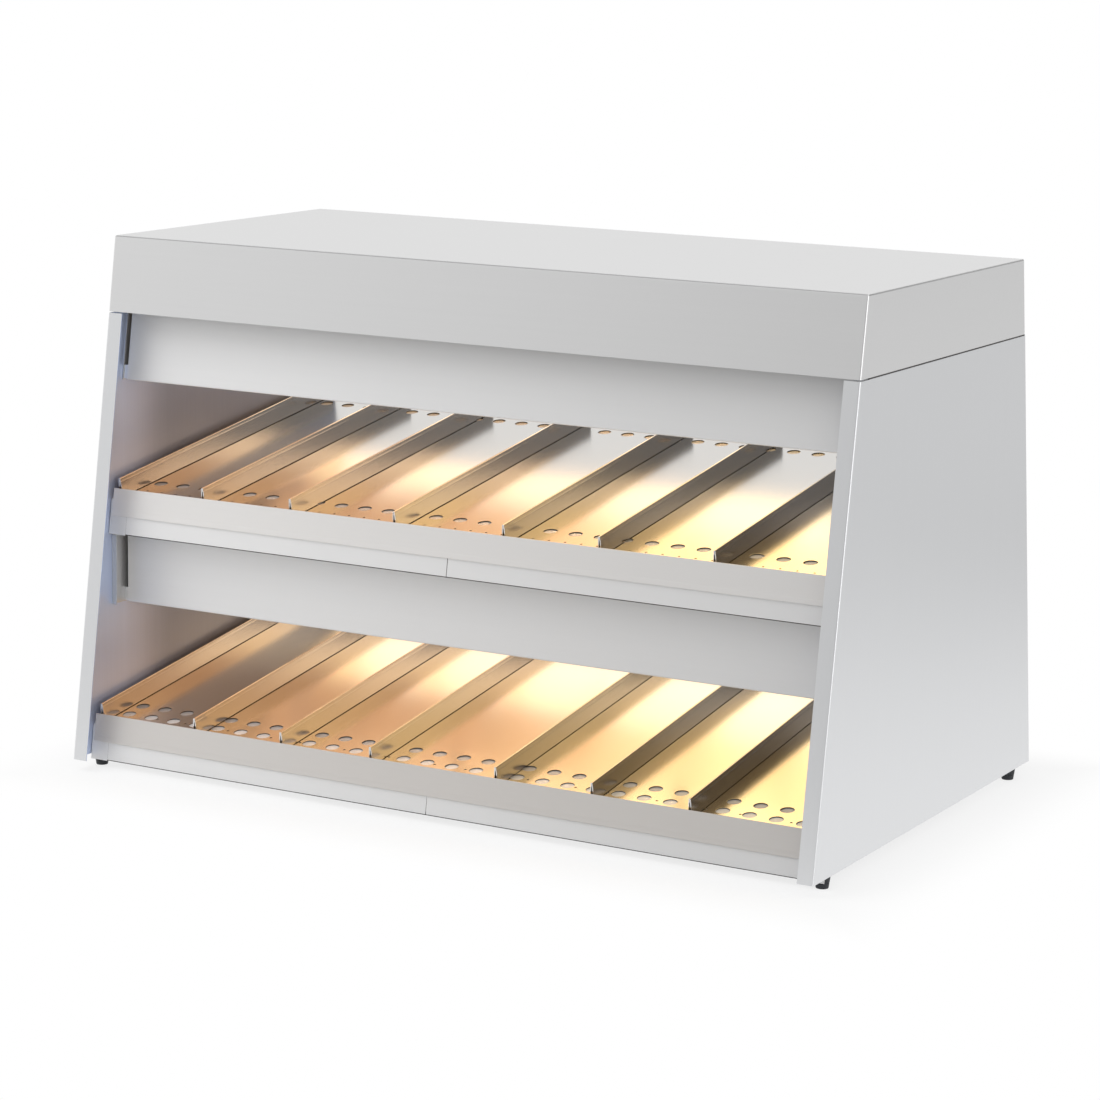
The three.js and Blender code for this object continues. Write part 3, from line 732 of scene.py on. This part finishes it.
def cap_shell():
    """The cap: a folded box with round bends, open below between its returns."""
    settings = bpy.context.scene.merch_cabinet
    t, r = settings.sheet, settings.bend + settings.sheet
    outer = [cap_ring(CAP_BOTTOM, 0, 0, r), cap_ring(CAP_TOP - r, 0, 0, r)]
    for k in range(1, ROUND_STEPS + 1):
        a = k / ROUND_STEPS * pi / 2
        inset = r * (1 - cos(a))
        outer.append(cap_ring(CAP_TOP - r + r * sin(a), inset, inset, max(r - inset, LEAST_CORNER)))
    mouth = settings.cap_return
    insets = ((CAP_BOTTOM, mouth), (CAP_BOTTOM + t, mouth), (CAP_BOTTOM + t, t), (CAP_TOP - t, t))
    inner = [cap_ring(z, t, inset, INNER_CORNER) for z, inset in insets]
    return loft("cap_shell", [*reversed(outer), *inner], 30)


def control_matrix():
    """From the control panel's own axes (across, out of the cap's rear face, up) to the model's."""
    z = (CAP_BOTTOM + CAP_TOP) / 2
    return Matrix.Translation((middle_x("control_panel"), back_y(z), z)) @ Matrix.Rotation(lean(), 4, "X")


def side_panel(side):
    """A side panel: web, front stile and foot flange, folded from one sheet."""
    settings = bpy.context.scene.merch_cabinet
    t = settings.sheet
    sections = []
    for z in (FOOT_TOP, PANEL_TOP):
        front = front_y(z)
        line = [(-HALF_WIDTH, back_y(z)), (-HALF_WIDTH, front), (-HALF_WIDTH + settings.stile, front)]
        faces = fold(line, t, settings.bend, 5)
        sections.append([[(-side * p.x, p.y, z) for p in face] for face in faces])
    web = ease_edges(sheet("side_web", sections))
    edge = side * (HALF_WIDTH - t - settings.bend)
    inner = side * (HALF_WIDTH - settings.foot_flange)
    low = min(edge, inner), front_y(FOOT_TOP, settings.foot_flange_recess), FOOT_TOP
    high = max(edge, inner), back_y(FOOT_TOP + t, 0.0005), FOOT_TOP + t
    panel = joined("side_panel", web, cuboid("side_flange", low, high))
    # The inner faces take the darker, bluer steel: painted shade and painted cool daylight.
    return two_tone(panel, "panel_steel", "painted_shade_panel_steel", lambda face: face.normal.x * side < -0.9)


def cap_shade_strip(side):
    """A dark strip in the joint between a side panel and the cap: painted shade of the joint's gap."""
    settings = bpy.context.scene.merch_cabinet
    x, z = side * (HALF_WIDTH - settings.sheet / 2), (PANEL_TOP + CAP_BOTTOM) / 2
    joint = CAP_BOTTOM - PANEL_TOP
    section = rounded_box(settings.sheet * 0.4, joint / 2, joint / 6)
    ends = (front_y(CAP_BOTTOM, settings.shade_strip_start), back_y(CAP_BOTTOM, settings.sheet))
    return loft("cap_shade_strip", [[(x + px, y, z + pz) for px, pz in section] for y in ends])


def rubber_foot(node):
    low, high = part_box(node)
    radius, height = (high.x - low.x) / 2, high.z - low.z
    profile = [(radius * share, height * part + more) for share, part, more in FOOT_SOLE + FOOT_SIDE]
    return put(turned("foot", profile), Matrix.Translation((middle_x(node), (low.y + high.y) / 2, 0)))


class MERCH_OT_cabinet(Operator):
    """Cap, side panels and feet"""

    bl_idname = "merch.cabinet"
    bl_label = "Cabinet"

    def execute(self, context):
        window = put(cuboid("window", *CAP_WINDOW), control_matrix())
        stand_for(cut_away(cap_shell(), window), "cap", finish("cap_steel"))
        for side, name in SIDES:
            node = f"side_panel_{name}"
            stand_for(side_panel(side), node)
            # A dark strip in the joint, painted shade.
            detail_of(cap_shade_strip(side), node, finish("painted_shade_dark"), f"{node}_cap_shade_strip")
        for node in ("foot_front_left", "foot_front_right", "foot_rear_left", "foot_rear_right"):
            stand_for(rubber_foot(node), node, finish("foot_rubber"))
        return {"FINISHED"}


# Decks.

DECK_START = 0.0012  # from the lip's front face to the deck's own sheet
PIN_CLEARANCE = 0.0012  # least metal between a vent hole and a locating hole

# The lip's outline from its lower edge up: height, and how far the front face stands back. It has a hemmed
# lower edge with a crease above it, and its top is rounded.
LIP_HEM = ((0.0, 0.0007), (0.0005, 0.0002), (0.0010, 0.0), (0.0064, 0.0), (0.0078, 0.0004), (0.0082, 0.0004))
LIP_SHOULDER = ((-0.0008, 0.0004), (0.0, 0.0003))  # from where the round starts
LIP_ROUND = (20, 40, 60, 78)  # degrees


def row_places(left_count):
    """A row of holes is punched from both ends, and the two runs meet out of step."""
    deck = bpy.context.scene.merch_deck
    places = [deck.left_inset + i * deck.pitch - HALF_WIDTH for i in range(left_count)]
    last, x = places[-1], HALF_WIDTH - deck.right_inset
    while x > last + deck.pitch:
        places.append(x)
        x -= deck.pitch
    return places


def deck_holes(tier):
    deck = bpy.context.scene.merch_deck
    rows = [(deck.front_row, deck.front_count), (deck_length(tier) - deck.rear_row, deck.rear_count)]
    if tier == "lower":
        rows.append((deck.second_row, deck.front_count))
    vents = [(x, distance) for distance, count in rows for x in row_places(count)]
    clear = (deck.hole + deck.pin) / 2 + PIN_CLEARANCE
    pins, x = [], deck.pin_inset - HALF_WIDTH
    while x <= HALF_WIDTH - deck.pin_inset:
        if all(hypot(x - vx, deck.pin_row - vy) > clear for vx, vy in vents):
            pins.append((x, deck.pin_row))
        x += deck.pin_pitch
    large, small = deck.hole / 2, deck.pin / 2
    return [ring_of(*place, large, 32) for place in vents] + [ring_of(*place, small, 12) for place in pins]


def lip_faces(tier):
    """The lip's two faces in the side view."""
    deck = bpy.context.scene.merch_deck
    height, t = deck.lip_rise + deck.lip_drop, deck.lip_thickness
    round_top, shoulder = height - t / 2, LIP_SHOULDER[-1][1]
    steps = [*LIP_HEM, *((round_top + u, v) for u, v in LIP_SHOULDER)]
    for a in map(radians, LIP_ROUND):
        steps.append((round_top + t / 2 * sin(a), shoulder + (t / 2 - shoulder) * (1 - cos(a))))
    bottom = deck_height(tier) - deck.lip_drop
    near = [(front_y(bottom + u, deck.lip_recess) + v, bottom + u) for u, v in steps]
    back = [t - (v if u > round_top else 0) for u, v in steps]
    far = [(front_y(bottom + u, deck.lip_recess) + v, bottom + u) for (u, _), v in zip(steps, back)]
    return near, far


class MERCH_OT_decks(Operator):
    """Perforated decks with their lips"""

    bl_idname = "merch.decks"
    bl_label = "Decks"

    def execute(self, context):
        t = context.scene.merch_cabinet.thin_sheet
        reach = HALF_WIDTH - context.scene.merch_deck.side_gap
        for tier in TIERS:
            start, end = DECK_START, deck_length(tier)
            outer = [(-reach, start), (reach, start), (reach, end), (-reach, end)]
            surface = plate("deck_plate", outer, deck_holes(tier), t)
            # Painted shade: the hole walls and the plate's edges take the near-black finish.
            two_tone(surface, "deck_steel", "painted_shade_dark", lambda face: abs(face.normal.z) < 0.5)
            put(surface, slope_matrix(tier) @ Matrix.Translation((0, 0, -t / 2)))
            lip = coat(across("deck_lip", lip_faces(tier), -reach, reach), finish(f"{tier}_lip_steel"))
            stand_for(joined("deck", surface, lip), f"{tier}_deck")
            dress(f"{tier}_base_plate", finish("matt_plate"))
        return {"FINISHED"}


# Rails and fascias.


def front_rail(tier, side, node):
    scene = bpy.context.scene
    rail, deck, t = scene.merch_rail, scene.merch_deck, scene.merch_cabinet.thin_sheet
    low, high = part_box(node)
    recess = deck.lip_recess + deck.lip_thickness + rail.seat
    under = -t - rail.seat
    y, z = slope_point(tier, 0, under)
    corner = (front_y(z, recess) - y) / (cos(lean()) - tan(lean()) * sin(lean()))
    bottom = deck_height(tier) - rail.drop
    line = [
        slope_point(tier, corner + rail.top_flange, under),
        slope_point(tier, corner, under),
        (front_y(bottom, recess), bottom),
        (front_y(bottom, recess) + rail.bottom_flange, bottom),
    ]
    notch = low.x + rail.notch if side < 0 else high.x - rail.notch
    main, rest = (notch, high.x), (low.x, notch)
    if side > 0:
        main, rest = rest, main
    bend = scene.merch_cabinet.bend
    channel = across("rail_channel", fold(line, t, bend), *main)
    end = across("rail_end", fold(line[:3], t, bend), *rest)

    def in_shade(face):
        """The cut ends, and the underside of the lower bend, which take painted shade."""
        nx, ny, nz = face.normal
        return abs(nx) > 0.9 or (nz < -0.45 and ny < -0.1)

    return two_tone(joined("front_rail", channel, end), "fascia_steel", "painted_shade_dark", in_shade)


def fascia(tier, node):
    """A fascia from its top edge round to its lower return. The upper one leans and the lower one doesn't."""
    scene = bpy.context.scene
    rail, cabinet = scene.merch_rail, scene.merch_cabinet
    low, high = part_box(node)
    top = bottom = low.y
    if tier == "upper":
        top, bottom = front_y(high.z, rail.fascia_recess), front_y(low.z, rail.fascia_recess)
    line = [(top, high.z), (bottom, low.z), (bottom + rail.fascia_return, low.z)]
    return across("fascia", fold(line, cabinet.thin_sheet, cabinet.bend), low.x, high.x)


class MERCH_OT_rails(Operator):
    """Front rails, fascias and the small rails and brackets behind them"""

    bl_idname = "merch.rails"
    bl_label = "Rails and fascias"

    def execute(self, context):
        for tier in TIERS:
            for side, name in SIDES:
                node = f"{tier}_front_rail_{name}"
                stand_for(ease_edges(front_rail(tier, side, node), angle=BENT), node)
            node = f"{tier}_fascia"
            stand_for(ease_edges(fascia(tier, node), angle=BENT), node, finish("fascia_steel"))
            for name in ("rear_rail", "support_left", "support_right", "bracket_left", "bracket_right"):
                dress(f"{tier}_{name}", finish("inner_steel"))
        return {"FINISHED"}


# Dividers.

DIVIDER_BEND = 0.0004
CREASE_DEPTH, CREASE_HEIGHT = 0.006, 0.0006  # the crease below the top fold
DIVIDER_REAR = 0.008  # from the divider's rear end to the deck's


def divider(tier, x):
    """An inverted fold with open ends and a fine crease below its top edge."""
    settings = bpy.context.scene.merch_divider
    foot, top, h = settings.foot / 2, settings.top / 2, settings.height
    low, high = settings.clearance, h - CREASE_DEPTH

    def half_width(z):
        return foot + (top - foot) * z / h

    rise = [(half_width(z), z) for z in (low, high)]
    rise.append((half_width(high) - settings.crease, high + CREASE_HEIGHT))
    line = [*rise, (top, h), (-top, h), *[(-a, b) for a, b in reversed(rise)]]
    faces = fold(line, settings.sheet, DIVIDER_BEND, 3)
    matrix = slope_matrix(tier)
    ends = (settings.start, deck_length(tier) - DIVIDER_REAR)
    sections = [[[matrix @ Vector((x + p.x, s, p.y)) for p in face] for face in faces] for s in ends]
    # The faces take the darker divider steel, painted shade, and the ends and top fold the bright steel, a
    # painted highlight.
    return two_tone(
        sheet("divider", sections), "divider_steel", "polished_and_highlight_steel", lambda face: abs(face.normal.x) < 0.7
    )


class MERCH_OT_dividers(Operator):
    """Lane dividers"""

    bl_idname = "merch.dividers"
    bl_label = "Dividers"

    def execute(self, context):
        for tier in TIERS:
            for index in range(1, 9):
                node = f"{tier}_divider_{index}"
                stand_for(ease_edges(divider(tier, middle_x(node)), 0.0002, 1, BENT), node)
        return {"FINISHED"}


# Lamps.

# The quartz tube's pinched end: share of its radius, and distance from its end.
TUBE_END = ((0.55, 0), (0.62, 0.008), (0.86, 0.011), (0.99, 0.016))
COIL_TURNS, COIL_STEPS, COIL_RADIUS, COIL_INSET, COIL_WIRE = 60, 8, 0.0016, 0.012, 0.0005


def filament(low, high):
    """The coiled wire inside a quartz tube."""
    middle_y, middle_z = (low.y + high.y) / 2, (low.z + high.z) / 2
    start, end = low.x + COIL_INSET, high.x - COIL_INSET
    curve = bpy.data.curves.new("filament", "CURVE")
    with_values(curve, dimensions="3D", bevel_depth=COIL_WIRE, bevel_resolution=1)
    spline = curve.splines.new("POLY")
    count = COIL_TURNS * COIL_STEPS
    spline.points.add(count)
    for k in range(count + 1):
        a = 2 * pi * k / COIL_STEPS
        y, z = middle_y + COIL_RADIUS * cos(a), middle_z + COIL_RADIUS * sin(a)
        spline.points[k].co = (start + (end - start) * k / count, y, z, 1)
    return new_object("filament", curve)


def quartz_tube(low, high):
    radius, half = (high.z - low.z) / 2, (high.x - low.x) / 2
    profile = [(radius * share, -half + distance) for share, distance in TUBE_END]
    profile += [(a, -b) for a, b in reversed(profile)]
    tube = turned("quartz_tube", profile, 32)
    return put(tube, Matrix.Translation((low + high) / 2) @ Matrix.Rotation(pi / 2, 4, "Y"))


def area_light(name, power, place, **form):
    """A soft light that the camera and gloss don't see."""
    light = with_values(bpy.data.lights.new(name, "AREA"), energy=power, **form)
    return with_values(new_object(name, light), location=place, visible_camera=False, visible_glossy=False)


class MERCH_OT_lamps(Operator):
    """Reflectors, quartz lamps, holders and their light"""

    bl_idname = "merch.lamps"
    bl_label = "Lamps"

    def execute(self, context):
        settings = context.scene.merch_lamp
        for tier in TIERS:
            node = f"{tier}_lamp"
            low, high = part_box(node)
            # The reflector carries lamp light painted on it as emission.
            dress(f"{tier}_reflector", finish("painted_glow_steel"))
            stand_for(quartz_tube(low, high), node, finish("quartz_tube"))
            detail_of(filament(low, high), node, finish("lamp_filament"), f"{node}_filament")
            for side in ("left", "right"):
                dress(f"{node}_holder_{side}", finish("ceramic"), 0.0012)
            form = {"shape": "RECTANGLE", "size": high.x - low.x, "size_y": 0.02, "color": settings.tint}
            area_light(f"{node}_light", settings.power, (0, (low.y + high.y) / 2, low.z - 0.003), **form)
        return {"FINISHED"}


# Controls, on the panel's own axes: x across, y out of the cap's rear face, z up.

ROCKERS = ("upper_rocker_switch", "lower_rocker_switch")
KNOBS = ("upper_heat_knob", "lower_heat_knob")
PANEL_OUTLINE, PANEL_SHEET, PANEL_MIDDLE, PANEL_EASE = (0.160, 0.040, 0.004), 0.0012, 0.0009, 0.0002
ROCKER_HOLE, KNOB_HOLE = (0.007, 0.011, 0.0008), 0.0034
SCREW_PLACES = ((-0.152, 0.032), (0.152, 0.032), (-0.152, -0.032), (0.152, -0.032))
SCREW_SEAT, KNOB_SEAT, GLAND_SEAT = 0.0014, 0.0021, 0.0018  # from the cap's rear face
OUTWARDS = Matrix.Rotation(-pi / 2, 4, "X")  # turns a piece's own z to the panel's y

# Boxes by their low and high corners.
KNOB_RIDGE = (-0.0022, -0.0148, 0.0150), (0.0022, 0.0148, 0.0196)
POINTER = (-0.0006, 0.0193, 0.004), (0.0006, 0.0199, 0.0145)
DIAL_MARK = (-0.0005, 0.0013, 0.0210), (0.0005, 0.0016, 0.0245)
DIAL_TURNS = range(135, -136, -45)  # degrees

# Turned outlines: radius and height.
SCREW_PROFILE = ((0.0034, 0.0), (0.0034, 0.0008), (0.0028, 0.0016), (0.0014, 0.0020), (0.0013, 0.0010))
NUT_PROFILE = ((0.0125, 0.0), (0.0139, 0.0008), (0.0139, 0.0052), (0.0125, 0.006))
KNOB_SKIRT = (0.0030, -0.0120), (0.0030, 0.0), (0.0176, 0.0), (0.0180, 0.0006), (0.0180, 0.0030)
KNOB_GRIP = (0.0162, 0.0036), (0.0158, 0.0140), (0.0150, 0.0156), (0.0120, 0.0160)
GLAND_COLLAR = (0.0050, 0.0), (0.0100, 0.0), (0.0100, 0.0062), (0.0097, 0.0070), (0.0097, 0.0130)
GLAND_MOUTH = (0.0090, 0.0152), (0.0072, 0.0172), (0.0055, 0.0178), (0.0050, 0.0174), (0.0048, 0.0120)


class MERCH_OT_controls(Operator):
    """Control panel, switches, knobs and cable gland on the rear of the cap"""

    bl_idname = "merch.controls"
    bl_label = "Controls"

    def execute(self, context):
        base = control_matrix()
        centre = {n: middle_x(n) - base.translation.x for n in (*ROCKERS, *KNOBS, "cable_gland")}
        black = finish("black_plastic")

        holes = [[(centre[n] + x, y) for x, y in rounded_box(*ROCKER_HOLE)] for n in ROCKERS]
        holes += [ring_of(centre[n], 0, KNOB_HOLE, 24) for n in KNOBS]
        panel = plate("panel", rounded_box(*PANEL_OUTLINE), holes, PANEL_SHEET, PANEL_EASE)
        put(panel, base @ Matrix.Translation((0, PANEL_MIDDLE, 0)) @ Matrix.Rotation(pi / 2, 4, "X"))
        stand_for(panel, "control_panel", finish("cap_steel"))
        for index, (x, z) in enumerate(SCREW_PLACES):
            seat = base @ Matrix.Translation((x, SCREW_SEAT, z))
            screw = put(turned("screw", SCREW_PROFILE, 24), seat @ OUTWARDS)
            detail_of(screw, "control_panel", finish("polished_and_highlight_steel"), f"control_screw_{index + 1}")

        for node in KNOBS:
            body = turned("knob_body", KNOB_SKIRT + KNOB_GRIP, 120, flutes(20, 0.022, (6, 7)))
            knob = joined("knob", body, cuboid("knob_ridge", *KNOB_RIDGE))
            seat = base @ Matrix.Translation((centre[node], KNOB_SEAT, 0))
            stand_for(put(knob, seat @ OUTWARDS), node, black)
            line = put(cuboid("pointer", *POINTER), seat)
            detail_of(line, node, finish("white_paint"), f"{node}_pointer")
            dial = base @ Matrix.Translation((centre[node], 0, 0))
            spins = [Matrix.Rotation(radians(turn), 4, "Y") for turn in DIAL_TURNS]
            marks = [put(cuboid("mark", *DIAL_MARK), dial @ spin) for spin in spins]
            detail_of(joined("marks", *marks), "control_panel", finish("dark_print"), f"{node}_marks")
        for node in ROCKERS:
            dress(node, black, 0.0006)

        body = turned("gland_body", GLAND_COLLAR + GLAND_MOUTH, 96, flutes(16, 0.02, (3, 4)))
        gland = joined("gland", body, turned("gland_nut", NUT_PROFILE, 6))
        seat = base @ Matrix.Translation((centre["cable_gland"], GLAND_SEAT, 0))
        stand_for(put(gland, seat @ OUTWARDS), "cable_gland", black)
        dress("terminal_box", black, 0.002)
        return {"FINISHED"}


# Stage.

# The brightness that gloss and glass find round them, and soft patches in it: direction, cosine where each
# starts, cosine where it is full, and what it adds.
ROOM = 0.88
WORLD_LOBES = (
    ((0.06, -1, 0.05), 0.76, 0.98, -0.44),
    ((0.30, 0.94, -0.15), 0.90, 1.0, -0.10),
    ((0.50, 0.78, 0.40), 0.84, 0.96, -0.56),
    ((0.86, -0.48, 0.0), 0.90, 0.99, 1.2),
    ((-0.45, -0.20, 0.87), 0.80, 0.97, -0.5),
)

# The floor, in metres from its middle or from the cabinet's sides.
FLOOR_HALF = 3.3
FLOOR_ENDS = (2.6, 3.2)
SHADOW_ENDS, SHADOW_SHARE = (0.0, 0.16), 0.22  # the shadow that the camera sees
UNDER_SHADOW_ENDS, UNDER_SHADOW_SHARE = (-0.06, 0.0), 0.8  # a painted shadow that gloss finds below the cabinet
FAR_ENDS, FAR_SHARE = (0.6, 3.0), 0.34  # the floor's tone that gloss finds further out
FRONT_AIM, FRONT_CONE, FRONT_ENDS, FRONT_SHARE = (0.1, -0.995, 0), (0.75, 1.0), (0.4, 1.2), 0.14  # and ahead

KEY_SIZE, KEY_POWER, KEY_PLACE, KEY_AIM = 2.2, 38, (-1.6, -1.8, 3.0), (0, 0, 0.3)
CAMERA_PLACE = (2.3208, -4.2050, 1.2737)
CAMERA_TURN, CAMERA_TILT, CAMERA_ROLL = 0.50711, 0.19294, 0.01798  # radians


def studio_world(settings):
    """White for the camera, with soft tones where gloss and glass look, which give the steel its form."""
    world = bpy.data.worlds.new("studio")
    bpy.context.scene.world = world
    graph = Graph(world)
    toward = graph.add("ShaderNodeTexCoord", output="Generated")
    room = ROOM
    for direction, low, high, amount in WORLD_LOBES:
        aim = tuple(Vector(direction).normalized())
        room = graph.smooth_step(graph.cosine(toward, aim), low, high) * amount + room
    camera, mirror = graph.ray("Camera"), graph.mirror_ray()
    other = mirror * room + (1 - mirror) * settings.light
    tone = graph.grey(camera + (1 - camera) * other)
    shader = graph.add("ShaderNodeBackground", None, {"Color": tone, "Strength": 1.0})
    graph.add("ShaderNodeOutputWorld", None, {"Surface": shader})


def floor_finish(settings):
    """A pale floor that keeps the shadow near the object and turns to plain white further out."""
    material, graph = new_material("floor")
    here = graph.here()
    distance = graph.vectors("LENGTH", {0: here}, "Value")
    x, y = (graph.along(axis, here).maths("ABSOLUTE") for axis in "xy")
    beside = (x - HALF_WIDTH).maths("MAXIMUM", y - HALF_DEPTH)
    by_cabinet = 1 - graph.smooth_step(beside, *SHADOW_ENDS)
    # Painted shadow: the floor that gloss finds below the cabinet is darker.
    below = 1 - graph.smooth_step(beside, *UNDER_SHADOW_ENDS)
    ahead = graph.smooth_step(graph.cosine(graph.vectors("NORMALIZE", {0: here}), FRONT_AIM), *FRONT_CONE)
    front = ahead * graph.smooth_step(distance, *FRONT_ENDS)
    far = graph.smooth_step(distance, *FAR_ENDS)
    reflected = graph.emission(graph.grey(1.0 - far * FAR_SHARE - front * FRONT_SHARE - below * UNDER_SHADOW_SHARE))
    matt = graph.add("ShaderNodeBsdfDiffuse", None, {"Color": (*settings.floor, 1)})
    white = graph.emission((1, 1, 1, 1))
    shown = graph.mix_shader(graph.ray("Camera") * (1 - by_cabinet * SHADOW_SHARE), matt, white)
    mixed = graph.mix_shader(graph.mirror_ray(), shown, reflected)
    gone = graph.add("ShaderNodeBsdfTransparent")
    graph.surface(graph.mix_shader(graph.smooth_step(distance, *FLOOR_ENDS), mixed, gone))
    return material


def photo_camera(focal):
    """The camera at the photograph's viewing angle."""
    camera = new_object("camera", with_values(bpy.data.cameras.new("camera"), lens=focal))
    turn, roll = Matrix.Rotation(CAMERA_TURN, 4, "Z"), Matrix.Rotation(CAMERA_ROLL, 4, "Z")
    tilt = Matrix.Rotation(pi / 2 - CAMERA_TILT, 4, "X")
    camera.matrix_world = Matrix.Translation(CAMERA_PLACE) @ turn @ tilt @ roll
    return camera


class MERCH_OT_stage(Operator):
    """Floor, studio light and camera"""

    bl_idname = "merch.stage"
    bl_label = "Stage"

    def execute(self, context):
        settings = context.scene.merch_stage
        corners = [(x * FLOOR_HALF, y * FLOOR_HALF, 0) for x, y in ((-1, -1), (1, -1), (1, 1), (-1, 1))]
        floor = mesh_object("floor", corners, [(0, 1, 2, 3)])
        floor.data.materials.append(floor_finish(settings))
        studio_world(settings)
        softbox = area_light("key", KEY_POWER, KEY_PLACE, size=KEY_SIZE)
        softbox.rotation_euler = (Vector(KEY_AIM) - softbox.location).to_track_quat("-Z", "Y").to_euler()
        context.scene.camera = photo_camera(settings.focal)
        context.scene.view_settings.view_transform = "Standard"
        return {"FINISHED"}


class MERCH_PT_panel(Panel):
    bl_label = "Merchandiser"
    bl_idname = "MERCH_PT_panel"
    bl_space_type = "VIEW_3D"
    bl_region_type = "UI"
    bl_category = "Merchandiser"

    def draw(self, context):
        for group in GROUPS:
            box = self.layout.box()
            settings = getattr(context.scene, group)
            for name in settings.__annotations__:
                box.prop(settings, name)
        for operator in OPERATORS:
            self.layout.operator(operator.bl_idname)


OPERATORS = (
    MERCH_OT_stage,
    MERCH_OT_cabinet,
    MERCH_OT_decks,
    MERCH_OT_rails,
    MERCH_OT_dividers,
    MERCH_OT_lamps,
    MERCH_OT_controls,
)


def register():
    for group in GROUPS.values():
        bpy.utils.register_class(group)
    for kind in (*OPERATORS, MERCH_PT_panel):
        bpy.utils.register_class(kind)
    for name, group in GROUPS.items():
        setattr(bpy.types.Scene, name, PointerProperty(type=group))


def unregister():
    for name in GROUPS:
        delattr(bpy.types.Scene, name)
    for kind in (MERCH_PT_panel, *reversed(OPERATORS), *GROUPS.values()):
        bpy.utils.unregister_class(kind)


def main():
    register()
    bpy.ops.merch.stage()
    bpy.ops.merch.cabinet()
    bpy.ops.merch.decks()
    bpy.ops.merch.rails()
    bpy.ops.merch.dividers()
    bpy.ops.merch.lamps()
    bpy.ops.merch.controls()
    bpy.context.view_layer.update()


if __name__ == "__main__":
    main()
